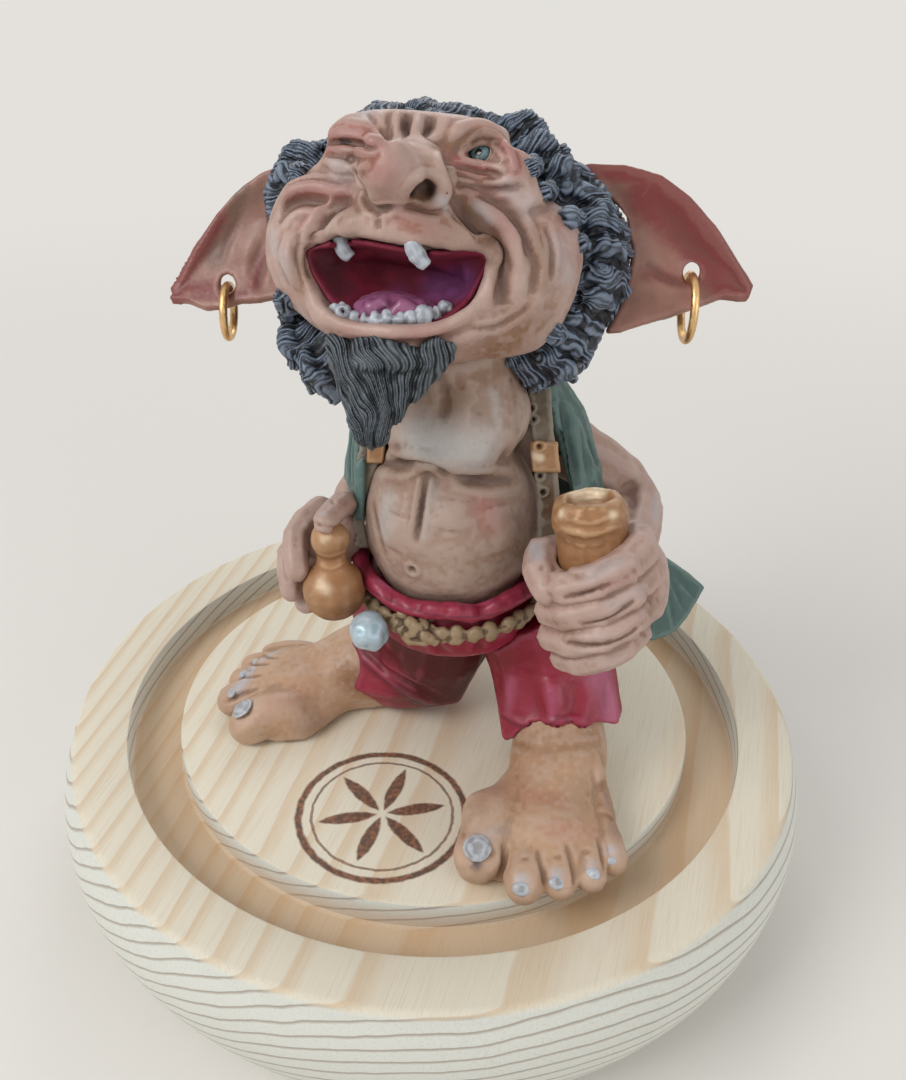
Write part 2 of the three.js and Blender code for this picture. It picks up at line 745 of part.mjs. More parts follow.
function beltBall(grow = 0) {
  const out = beltOut(beltBallAngle, beltBallRadius + beltLinkRadius * (1 + beltWaist)) + gap;
  const centre = besideTrunk(beltBallAngle, out, frillLine(beltBallAngle) - beltDrop - 1);
  return wrap(ball(centre, beltBallRadius), centre, 2, { grow });
}

// A brace hangs as a flat strap from the shoulder to the frill, facing forward
function strap(path, width, thickness, from, to, lift, steps) {
  const curve = new THREE.CatmullRomCurve3(path);
  const surface = (u, v) => {
    const share = THREE.MathUtils.lerp(from, to, v);
    const facing = curve.getTangentAt(share).cross(point(1, 0, 0)).normalize();
    return curve.getPointAt(share)
      .add(point((u - 0.5) * width, 0, 0))
      .addScaledVector(facing, lift * Math.sign(-facing.y));
  };
  return sheet(surface, thickness, 1, steps);
}
const brace = (path, grow = 0) => strap(
  path, braceWidth + 2 * grow, braceThickness + 2 * grow, 0, 1, 0, 7);

function buckle(path, grow = 0) {
  const half = buckleLength / 2 / new THREE.CatmullRomCurve3(path).getLength();
  const lift = (braceThickness + buckleThickness) / 2 + gap;
  return strap(path, braceWidth + 1 + 2 * grow, buckleThickness + 2 * grow,
    bucklePlace - half, bucklePlace + half, lift, 2);
}

// Vest: a back and two fronts that hang off the shoulders

// Each panel's rows run down from the shoulder to the hem, each row from its front edge to its back edge
const vestRows = {
  back: [
    [point(13, 14.5, 100), point(2, 15.5, 100), point(-8, 13, 99)],
    [point(20, 19, 72), point(4, 18, 72), point(-9, 16.5, 72)],
    [point(33, 22, 42), point(4, 25, 40), point(-15, 22, 46)],
  ],
  left: [
    [point(22, -2, 102), point(26, 4, 101), point(22, 10, 101), point(14, 14.5, 100)],
    [point(31, -9, 83), point(37, 2, 84), point(33, 13, 84), point(20, 18, 84)],
    [point(33, -12, 62), point(42, 0, 60), point(38, 14, 60), point(23, 19, 62)],
    [point(40, -12, 48), point(55, -3, 43), point(57, 10, 47), point(30, 21, 47)],
    [point(46, -8, 38), point(58, -5, 28), point(73, 8, 36), point(35, 22, 38)],
  ],
  right: [
    [point(-8.5, 13, 99), point(-15, 6, 100), point(-16, -3, 99)],
    [point(-10, 16, 84), point(-20, 5, 84), point(-18.5, -9, 86)],
    [point(-11, 18, 64), point(-22, 6, 64), point(-19, -14, 68)],
  ],
};

function vest(name, grow = 0) {
  const rows = vestRows[name].map((row) => new THREE.CatmullRomCurve3(row));
  const folds = vestRows[name][0].length - 1;
  const surface = (u, v) => {
    const place = new THREE.CatmullRomCurve3(rows.map((row) => row.getPoint(u))).getPoint(1 - v);
    const away = place.clone().sub(trunkAxis).setZ(0).normalize();
    return place.addScaledVector(away, vestFold * Math.sin(folds * 2 * Math.PI * u) * (1 - v / 2));
  };
  return sheet(surface, vestThickness + 2 * grow, folds * 4, 6);
}

// Head

const headFrame = new THREE.Matrix4().compose(
  headCentre, new THREE.Quaternion().setFromEuler(headTurn), point(1, 1, 1));

const faceForm = (() => {
  const mirrored = (make) => [-1, 1].map(make);
  const skull = egg(point(0, 3, 1), skullRadii);
  const cheeks = mirrored((side) => egg(point(side * cheekSpread + cheekMiddle, -13, -3), cheekRadii));
  const jaw = egg(point(0, -14, -15), point(19, 14, 10));
  const chin = ball(point(0, -23, -19), 6);
  const muzzle = egg(point(0, -20, -7), point(18, 12.5, 12.5));
  const midFace = egg(point(0, -17, 5), midFaceRadii);
  const brow = limb(point(-8, -20, 19), point(8, -20, 19), 4.5, 4.5);
  const lids = mirrored((side) => egg(point(side * eyeSpread, -eyeDepth, eyeHeight), point(6.6, 5.6, 5.4)));
  const base = blend(7, skull, ...cheeks, jaw, chin, muzzle, midFace, brow);
  return blend(2.5, base, ...lids, ...laughLines());
})();
const faceMiddle = point(0, -8, 0);

// What the laugh pushes up: the brows, the bags under the eyes, the apples of the cheeks and the lips
function laughLines() {
  return [
    limb(point(-17, -17.5, 20), point(-4.5, -23.5, 18), browRadius, browRadius),
    limb(point(4.5, -23.5, 19), point(15.5, -18, 21.5), browRadius, browRadius),
    egg(point(-15, -20.5, 10.5), point(5.5, 4.5, 3.4)),
    egg(point(12.5, -22, 11), point(6.5, 4, 3)),
    egg(point(-20.5, -17.5, 4.5), point(7.5, 6.5, 5.5)),
    egg(point(17.5, -20, 4.5), point(6.5, 6, 5.5)),
    egg(point(27, -13, 1), point(7.5, 8, 9)),
    limb(point(-15.5, -23, -0.5), point(-3, -29.5, -0.5), lipRadius, lipRadius),
    limb(point(-3, -29.5, -0.5), point(12.5, -25, -0.5), lipRadius, lipRadius),
    limb(point(-14, -22.5, -18), point(0, -26.5, -21), lipRadius, lipRadius),
    limb(point(0, -26.5, -21), point(14.5, -23, -16.5), lipRadius, lipRadius),
  ];
}

const noseForm = blend(2.5, egg(noseBulb, noseBulbRadii), egg(noseWing, noseWingRadii),
  limb(noseBridgeTop, noseBulb.clone().lerp(noseWing, 0.4).add(point(0, 2, 1)), noseBridgeRadius, 5));
const noseMiddle = noseBulb.clone().lerp(noseWing, 0.5).add(point(0, 2, 1.5));
const nose = () => wrap(noseForm, noseMiddle, 4);
const nostrilHole = () => wrap(egg(nostril, nostrilRadii), nostril, 1);
const skullSkin = (grow = 0) => wrap(faceForm, faceMiddle, 6, { grow });

// The mouth: flat above, round below
const mouthForm = (() => {
  const open = egg(point(mouthMiddle, -30, mouthTop), point(mouthHalfWidth, mouthDepth, mouthHeight));
  const above = (place) => place.z - (mouthTop + 1.2 + 0.004 * place.x * place.x);
  return (place) => Math.max(open(place), above(place));
})();
const mouth = (grow = 0) => wrap(mouthForm, point(mouthMiddle, -28, mouthTop - 4), 3, { grow });

const eyeball = (side, grow = 0) => {
  const centre = point(side * eyeSpread, -eyeDepth, eyeHeight);
  return wrap(ball(centre, eyeRadius), centre, 1, { grow });
};

function eyeSlit(side, height) {
  const centre = point(side * eyeSpread, -eyeDepth - eyeRadius - 0.5, eyeHeight);
  return wrap(egg(centre, point(eyeRadius * 0.9, 4, height)), centre, 1);
}

const upperTooth = (root, grow = 0) => tube([root, root.clone().add(point(0.5, -0.8, -toothLength))],
  [toothRadius, toothRadius * 0.8], 6, 1, grow);

function lowerTeeth(grow = 0) {
  const row = (share, height) => {
    const angle = THREE.MathUtils.lerp(-0.95, 0.95, share);
    return point(Math.sin(angle) * 12, -18 - Math.cos(angle) * 9, height);
  };
  const gum = tube([0, 0.25, 0.5, 0.75, 1].map((share) => row(share, mouthTop - mouthHeight + 2.6)),
    [1.1, 1.2, 1.2, 1.2, 1.1], 5, 6, grow);
  const teeth = Array.from({ length: lowerToothCount }, (_, tooth) => {
    const centre = row((tooth + 0.5) / lowerToothCount, mouthTop - mouthHeight + 4.2);
    return wrap(egg(centre, point(1.6, 1.4, lowerToothRadius * 1.4)), centre, 0, { grow });
  });
  return joined(gum, ...teeth);
}

const tongueMiddle = point(0, -20, mouthTop - mouthHeight + 4.5);
const tongueForm = egg(tongueMiddle, point(8.5, 8, 3.4), new THREE.Euler(0.15, 0, 0));
const tongue = (grow = 0) => wrap(tongueForm, tongueMiddle, 2, { grow });

// Hair: lumps of locks on the skull, with grooves that run down from the crown

function grooved(form, crown, depth = lockDepth) {
  return (place) => {
    const angle = Math.atan2(place.x - crown.x, place.y - crown.y);
    const height = place.z - crown.z;
    return form(place) + depth * Math.sin(lockCount * angle + height * 0.12);
  };
}
const crown = point(0, 8, 14);
const hairForms = {
  crown: blend(6, egg(point(-1, 3, 13), point(25, 22, 19)), egg(point(18, 3, 16), point(15, 14, 14))),
  left: blend(6, egg(point(30, 4, 2), point(15.5, 14, 20)), egg(point(27, 5, -15), point(13, 12, 11))),
  right: blend(6, egg(point(-24, 3, 9), point(12, 14, 14)), egg(point(-17, 5, -20), point(12, 12, 13))),
  back: egg(point(2, 22, -4), point(27, 15, 28)),
};
const hairMiddles = {
  crown: point(4, 4, 16), left: point(29, 5, -4), right: point(-21, 5, -5), back: point(2, 22, -4),
};
const hairDetailCount = { crown: 4, left: 4, right: 4, back: 3 };
const hairLump = (name, grow = 0) => (
  wrap(grooved(hairForms[name], crown), hairMiddles[name], hairDetailCount[name], { grow }));

// Goatee: a wedge of grooved locks hanging from the chin
function beard(grow = 0) {
  const root = point(-2.5, -24, -23);
  const tip = point(-3.5, -21, -23 - beardLength);
  const form = blend(3, limb(point(-10, -20, -24), tip, 5, 3), limb(point(7, -23, -22), tip, 5, 3),
    limb(root, tip, 6, 3));
  const locks = (place) => form(place) + 0.5 * Math.sin(place.x * 2);
  return wrap(locks, root.clone().lerp(tip, 0.4), 4, { grow });
}

// Ears: thin dished sheets between a top and a bottom edge, from root to tip

const earEdges = {
  left: {
    top: [point(26, 2, 20), point(34, 2, 23.5), point(49.5, 3, 22.8), point(62.7, 5, 14), point(73.2, 8, 2.4)],
    bottom: [point(27, 2, -6), point(41, 2, -12), point(50, 3, -9.6), point(61, 5, -3.6), point(73, 8, 0.2)],
    hole: point(59.6, 4, 2.6),
  },
  right: {
    top: [point(-24, 3, 14), point(-34, 3, 15.8), point(-42, 4, 11), point(-47.5, 5, 4.5), point(-57, 7, -13.6)],
    bottom: [point(-25, 3, -10), point(-32, 3, -13), point(-40, 4, -15.2), point(-48, 5, -17), point(-57, 7, -15.8)],
    hole: point(-43.6, 4, -11.6),
  },
};

function earSurface(name) {
  const top = new THREE.CatmullRomCurve3(earEdges[name].top);
  const bottom = new THREE.CatmullRomCurve3(earEdges[name].bottom);
  return (u, v) => {
    const ragged = 0.8 * Math.sin(u * 16) * (1 - v) * u;
    const dish = 3.5 * Math.sin(Math.PI * v) * (1 - 0.7 * u);
    return bottom.getPoint(u).lerp(top.getPoint(u), v).add(point(0, dish, ragged));
  };
}

const ear = (name, grow = 0) => sheet(earSurface(name), earThickness + 2 * grow, 8, 3);

// The hole runs level, as the ring does where it passes through
function earHole(name) {
  const drill = new THREE.CylinderGeometry(earHoleRadius, earHoleRadius, 16, 10);
  const hook = earEdges[name].hole.clone().applyMatrix4(headFrame);
  return inHead(welded(drill.translate(hook.x, hook.y, hook.z)));
}

// The object

const figure = new THREE.Group();
figure.position.set(0, 0, islandTop + gap);
const head = new THREE.Group();
head.position.copy(headCentre);
head.rotation.copy(headTurn);
figure.add(head);

const inFigure = (geometry) => moved(geometry, headFrame);
const inHead = (geometry) => moved(geometry, headFrame.clone().invert());
const sides = { left: 1, right: -1 };

const grownSkull = skullSkin(gap);
const grownHead = inFigure(grownSkull);
const grownTorso = torso(gap);
const grownSeat = seat(gap);
const torsoInHead = inHead(grownTorso);

// Everything fixed in the head, in the head's frame
const mouthInner = mouth(-gap - liningThickness);
const lining = cutBy(common(skullSkin(-lipDepth), mouth(-gap)), mouthInner);
const insideMouth = common(skullSkin(-1), mouth(-2 * gap - liningThickness));
const teethAbove = { left: toothLeftRoot, right: toothRightRoot };
const grownTeeth = Object.values(teethAbove).map((root) => upperTooth(root, gap));
const eyeOpenings = Object.values(sides).flatMap((side) => [eyeball(side, gap), eyeSlit(side, side > 0 ? 2.4 : 1.1)]);
const spineInHead = inHead(wire('spine', gap));
const face = joined(skullSkin(), nose());
head.add(piece('head', cutBy(face, mouth(), nostrilHole(), ...eyeOpenings, ...grownTeeth, spineInHead), skin()));
head.add(piece('mouth_lining', cutBy(lining, ...grownTeeth), material('#6d1236', 0.6)));
head.add(piece('tongue', common(tongue(), insideMouth), material('#9c5570', 0.6)));
head.add(piece('lower_teeth', cutBy(common(lowerTeeth(), insideMouth), tongue(gap)), ivory()));
Object.entries(teethAbove).forEach(([name, root]) => {
  head.add(piece(`upper_tooth_${name}`, upperTooth(root), ivory()));
});
Object.entries(sides).forEach(([name, side]) => {
  head.add(piece(`eyeball_${name}`, eyeball(side), material('#d8dcd8', 0.3)));
});
head.add(piece('beard', cutBy(beard(), grownSkull, torsoInHead), hairPaint()));

const hairOrder = ['crown', 'left', 'right', 'back'];
const grownLumps = Object.fromEntries(hairOrder.map((name) => [name, hairLump(name, gap)]));
hairOrder.forEach((name, order) => {
  const before = hairOrder.slice(0, order).map((other) => grownLumps[other]);
  const lump = cutBy(hairLump(name), grownSkull, ...before, torsoInHead, beard(gap));
  head.add(piece(`hair_${name}`, lump, hairPaint()));
});

Object.keys(sides).forEach((name) => {
  const shaped = cutBy(ear(name), grownSkull, earHole(name), ...Object.values(grownLumps));
  head.add(piece(`ear_${name}`, shaped, material('#b27567', 0.7)));
});

// Trunk, limbs and what they wear
const grownHair = Object.values(grownLumps).map(inFigure);
const grownBeard = inFigure(beard(gap));
const wires = Object.fromEntries(Object.keys(wirePaths).map((name) => [name, wire(name, gap)]));
const cutterFrill = frill(gap);
figure.add(piece('torso', cutBy(torso(), grownHead, ...Object.values(wires)), skin()));
figure.add(piece('trousers_seat', cutBy(seat(), grownTorso, wires.spine, wires.leg_left, wires.leg_right), crimson()));
figure.add(piece('waist_frill', cutBy(frill(), grownTorso, grownSeat), crimson()));
figure.add(piece('belt', cutBy(belt(), grownSeat, cutterFrill, beltBall(gap)), material('#8f7a55', 0.7)));
figure.add(piece('belt_ball', cutBy(beltBall(), grownSeat, cutterFrill), material('#b9c2c6', 0.4, 0.6)));

const footLeftSolid = foot(leftFootFrame, gap);
const footRightSolid = foot(rightFootFrame, gap);
const nailLeft = moved(bigToeNail(gap), leftFootFrame);
const nailRight = moved(bigToeNail(gap), rightFootFrame);
const upperCutters = [grownSeat, grownTorso, cutterFrill, belt(gap), beltBall(gap)];
figure.add(piece('trouser_leg_left', cutBy(trouserLegLeft(), ...upperCutters, footLeftSolid, wires.leg_left), crimson()));
figure.add(piece('trouser_leg_right', cutBy(aboveIsland(trouserLegRight()), ...upperCutters, trouserLegLeft(gap),
  footRightSolid, wires.leg_right), crimson()));
figure.add(piece('foot_left', cutBy(foot(leftFootFrame), nailLeft, wires.leg_left), skin()));
figure.add(piece('foot_right', cutBy(foot(rightFootFrame), nailRight, wires.leg_right), skin()));
figure.add(piece('toenail_left', moved(bigToeNail(), leftFootFrame), ivory()));
figure.add(piece('toenail_right', moved(bigToeNail(), rightFootFrame), ivory()));

const grownCup = moved(cup(gap), cupFrame);
const grownGourd = moved(gourd(gap), gourdFrame);
figure.add(piece('cup', moved(cup(), cupFrame), gold()));
figure.add(piece('gourd_bottle', cutBy(moved(gourd(), gourdFrame), cutterFrill, grownTorso, grownSeat, beltBall(gap)), gold()));
figure.add(piece('hand_left', cutBy(handLeft(), grownCup, grownTorso, cutterFrill), skin()));
figure.add(piece('hand_right', cutBy(handRight(), grownGourd, grownTorso, cutterFrill), skin()));
const grownHands = [handLeft(gap), handRight(gap)];
const overhead = [grownTorso, grownHead, ...grownHair, grownBeard];
figure.add(piece('arm_left', cutBy(armLeft(), ...overhead, grownHands[0]), skin()));
figure.add(piece('arm_right', cutBy(armRight(), ...overhead, grownHands[1]), skin()));

const bracePaths = { left: braceLeftPath, right: braceRightPath };
const grownArms = [armLeft(2 * gap), armRight(2 * gap)];
Object.entries(bracePaths).forEach(([name, path]) => {
  const strapCutters = [...overhead, cutterFrill, ...grownArms, ...grownHands, grownCup];
  figure.add(piece(`brace_${name}`, cutBy(brace(path), ...strapCutters), material('#6b5a36', 0.7)));
  figure.add(piece(`buckle_${name}`, cutBy(buckle(path), ...strapCutters, brace(path, gap * 0.9)), gold()));
});
const grownBraces = Object.values(bracePaths).flatMap((path) => [brace(path, gap), buckle(path, gap)]);
const vestCutters = [...overhead, ...grownArms, cutterFrill, ...grownBraces, ...grownHands, belt(gap), grownSeat,
  grownCup, grownGourd, trouserLegLeft(gap), trouserLegRight(gap)];
figure.add(piece('vest_back', cutBy(vest('back'), ...vestCutters), green()));
figure.add(piece('vest_left', cutBy(vest('left'), ...vestCutters, vest('back', gap)), green()));
figure.add(piece('vest_right', cutBy(vest('right'), ...vestCutters, vest('back', gap)), green()));

Object.keys(wirePaths).forEach((name) => figure.add(piece(`wire_${name}`, wire(name), wireSteel())));

// Ear rings hang upright from the middle of their holes
Object.entries({ left: ringRadiusLeft, right: ringRadiusRight }).forEach(([name, radius]) => {
  const hook = earEdges[name].hole.clone().applyMatrix4(headFrame);
  const ring = piece(`earring_${name}`, welded(new THREE.TorusGeometry(radius, ringWireRadius, 6, 22)), gold());
  ring.position.set(hook.x, hook.y, hook.z - radius);
  ring.rotation.set(0, Math.PI / 2, 0);
  figure.add(ring);
});

const object = new THREE.Group();
object.add(piece('plinth', plinth(), material('#d8bf95', 0.6)));
object.add(figure);

export default object;
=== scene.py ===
# Imp figurine in painted clay on a turned pine plinth, in metres, +Z up, facing -Y.
# The dictionaries hold millimetres and degrees. A pair such as (447, 193) is a pixel of the view,
# and stands for the place on the clay that lies under it.

import math

import bpy
import numpy as np
from mathutils import Matrix, Vector


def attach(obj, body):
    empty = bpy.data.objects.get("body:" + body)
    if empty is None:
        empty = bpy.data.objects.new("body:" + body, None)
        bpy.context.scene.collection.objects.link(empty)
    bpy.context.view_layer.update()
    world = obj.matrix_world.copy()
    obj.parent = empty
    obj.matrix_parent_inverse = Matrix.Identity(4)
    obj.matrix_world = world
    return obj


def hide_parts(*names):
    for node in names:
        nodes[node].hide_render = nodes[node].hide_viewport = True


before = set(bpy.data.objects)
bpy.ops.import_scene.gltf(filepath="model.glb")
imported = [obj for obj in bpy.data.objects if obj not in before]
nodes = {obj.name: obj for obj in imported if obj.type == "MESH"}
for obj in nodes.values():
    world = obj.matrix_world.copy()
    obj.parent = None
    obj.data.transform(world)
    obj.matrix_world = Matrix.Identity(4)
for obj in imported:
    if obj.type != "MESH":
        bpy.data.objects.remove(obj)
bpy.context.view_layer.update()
mm = 0.001
weld = 1e-6  # metres
sides = ("left", "right")


# the view

view = {
    "lens": 35.0, "film": 36.0, "wide": 906, "high": 1080, "clip": (0.01, 20),
    "tilt": 32.4, "roll": 1.7, "reach": 272.5, "aim": (3.8, 0.0, 99.8),
}


def viewAxes():
    tilt = math.radians(view["tilt"])
    roll = math.radians(view["roll"])
    ahead = Vector((0, math.cos(tilt), -math.sin(tilt)))
    up = Vector((0, math.sin(tilt), math.cos(tilt)))
    side = Vector((1, 0, 0))
    return side * math.cos(roll) + up * math.sin(roll), up * math.cos(roll) - side * math.sin(roll), ahead


rightWay, upWay, aheadWay = viewAxes()
eyeSpot = (Vector(view["aim"]) - aheadWay * view["reach"]) * mm


def sight(u, v):
    focal = view["lens"] / view["film"] * view["high"]
    across = (u - view["wide"] / 2) / focal
    down = (v - view["high"] / 2) / focal
    return (aheadWay + rightWay * across - upWay * down).normalized()


def placeCamera():
    data = bpy.data.cameras.new("camera")
    data.lens = view["lens"]
    data.sensor_fit = "VERTICAL"
    data.sensor_height = view["film"]
    data.clip_start, data.clip_end = view["clip"]
    camera = bpy.data.objects.new("camera", data)
    bpy.context.scene.collection.objects.link(camera)
    turn = Matrix((rightWay, upWay, -aheadWay)).transposed().to_4x4()
    camera.matrix_world = Matrix.Translation(eyeSpot) @ turn
    bpy.context.scene.camera = camera


placeCamera()
print("camera placed")


# small helpers

def deselect():
    bpy.ops.object.select_all(action="DESELECT")


def only(piece):
    deselect()
    piece.select_set(True)
    bpy.context.view_layer.objects.active = piece


def applyModifiers(piece):
    only(piece)
    for modifier in list(piece.modifiers):
        bpy.ops.object.modifier_apply(modifier=modifier.name)


def joinPieces(pieces):
    deselect()
    for piece in pieces:
        piece.select_set(True)
    bpy.context.view_layer.objects.active = pieces[0]
    if len(pieces) > 1:
        bpy.ops.object.join()
    return pieces[0]


def settlePiece(piece):
    only(piece)
    bpy.ops.object.transform_apply(location=True, rotation=True, scale=True)


def copyNode(name, label):
    piece = bpy.data.objects.new(label, nodes[name].data.copy())
    piece.data.materials.clear()
    bpy.context.scene.collection.objects.link(piece)
    only(piece)
    bpy.ops.object.mode_set(mode="EDIT")
    bpy.ops.mesh.select_all(action="SELECT")
    bpy.ops.mesh.remove_doubles(threshold=weld)
    bpy.ops.object.mode_set(mode="OBJECT")
    return piece


def finishPiece(piece, finish, slotName, *replaced):
    piece.data.materials.clear()
    piece.data.materials.append(finish)
    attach(piece, "figurine")
    if replaced:
        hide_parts(*replaced)


def smoothCurve(points, steps=6):
    points = [np.array(p, float) for p in points]
    if len(points) < 3:
        shares = np.linspace(0, 1, steps + 1)
        return [points[0] * (1 - t) + points[-1] * t for t in shares]
    padded = [2 * points[0] - points[1]] + points + [2 * points[-1] - points[-2]]
    line = []
    for i in range(1, len(padded) - 2):
        before, a, b, after = padded[i - 1:i + 3]
        for t in np.linspace(0, 1, steps, endpoint=False):
            line.append(0.5 * (2 * a + (b - before) * t + (2 * before - 5 * a + 4 * b - after) * t * t
                               + (3 * a - before - 3 * b + after) * t ** 3))
    line.append(points[-1])
    return line


# steady noise over places, between -1 and 1, the same in every run

gritHash = {"primes": np.array([73856093, 19349663, 83492791]), "stir": 1274126177, "top": 0x7FFFFFFF,
            "apart": 17.31}


def grit(spots, size, seed=0):
    place = spots / size + seed * gritHash["apart"]
    base = np.floor(place).astype(np.int64)
    share = place - base
    share = share * share * (3 - 2 * share)
    total = np.zeros(len(spots))
    for corner in range(8):
        step = np.array([corner & 1, corner >> 1 & 1, corner >> 2 & 1])
        mixed = np.bitwise_xor.reduce((base + step) * gritHash["primes"], axis=1)
        mixed = ((mixed ^ (mixed >> 13)) * gritHash["stir"]) & gritHash["top"]
        weight = np.prod(np.where(step, share, 1 - share), axis=1)
        total += weight * (mixed / (gritHash["top"] // 2) - 1)
    return total


# the head's own axes

headPose = {"spot": np.array([-5.0, -2.0, 175.3]), "swing": 4.2, "nod": 28.0, "lean": 3.6}


def turnAbout(axis, degrees):
    angle = math.radians(degrees)
    one, other = [k for k in range(3) if k != axis]
    turn = np.eye(3)
    turn[one, one] = turn[other, other] = math.cos(angle)
    turn[one, other] = math.sin(angle)
    turn[other, one] = -math.sin(angle)
    return turn


headAxes = turnAbout(2, headPose["swing"]) @ turnAbout(0, headPose["nod"]) @ turnAbout(1, headPose["lean"])


def inHead(spots):
    return (spots - headPose["spot"]) @ headAxes


def headWay(shift):
    return headAxes @ np.array(shift)


# rolls and pellets of clay, and places found under pixels

lumpStyle = {"around": 20, "rings": 12, "bevel": 3}


def struck(pieces, u, v):
    best = None
    for piece in pieces:
        hit, spot, normal, _ = piece.ray_cast(eyeSpot, sight(u, v))
        if hit:
            far = (spot - eyeSpot).length
            if best is None or far < best[0]:
                best = (far, np.array(spot) * 1000, np.array(normal))
    return best and best[1:]


def tracedOver(pieces, pixels, lift=0.0, steps=4):
    path = []
    for u, v in smoothCurve(pixels, steps) if len(pixels) > 1 else pixels:
        found = struck(pieces, u, v)
        if found:
            path.append(found[0] + found[1] * lift)
    return path


def roll(path, radii):
    curve = bpy.data.curves.new("roll", "CURVE")
    curve.dimensions = "3D"
    curve.bevel_depth = mm
    curve.bevel_resolution = lumpStyle["bevel"]
    curve.use_fill_caps = True
    line = curve.splines.new("POLY")
    line.points.add(len(path) - 1)
    sizes = np.interp(np.linspace(0, 1, len(path)), np.linspace(0, 1, len(radii)), radii)
    for point, spot, size in zip(line.points, path, sizes):
        point.co = (*(np.array(spot) * mm), 1)
        point.radius = size
    piece = bpy.data.objects.new("roll", curve)
    bpy.context.scene.collection.objects.link(piece)
    only(piece)
    bpy.ops.object.convert(target="MESH")
    return bpy.context.object


def laidRoll(pieces, pixels, radii, lift, shift=(0, 0, 0)):
    path = [spot + headWay(shift) for spot in tracedOver(pieces, pixels, lift)]
    return roll(path, radii) if len(path) > 1 else None


def pellet(spot, sizes, turn=(0, 0, 0)):
    deselect()
    bpy.ops.mesh.primitive_uv_sphere_add(
        segments=lumpStyle["around"], ring_count=lumpStyle["rings"], radius=1,
        location=[c * mm for c in spot], rotation=[math.radians(a) for a in turn],
        scale=[s * mm for s in sizes])
    piece = bpy.context.object
    settlePiece(piece)
    return piece


def regrained(piece, grain):
    grid = piece.modifiers.new("grain", "REMESH")
    grid.mode = "VOXEL"
    grid.voxel_size = grain * mm
    grid.use_smooth_shade = True
    applyModifiers(piece)


def meltedDown(piece, rounds):
    soft = piece.modifiers.new("melt", "SMOOTH")
    soft.factor = 0.5
    soft.iterations = rounds
    applyModifiers(piece)


# clay: a node's solid, melted round, worked over with strokes and marked for its paint

clayFeel = {
    "reach": 3.2, "lip": 0.35, "lipPlace": 1.9, "lipWide": 0.8, "endFade": 0.02, "washAndShadeWide": 0.7,  # a stroke
    "stainAndLightReach": 2.5, "softReach": 2.2, "softShare": 1.3, "shortest": 1e-6,
    "fine": 5, "broad": 36,  # rounds of averaging that find crests and hollows
}
paintMarks = ("washAndShade", "pink", "brown", "pale", "dark")


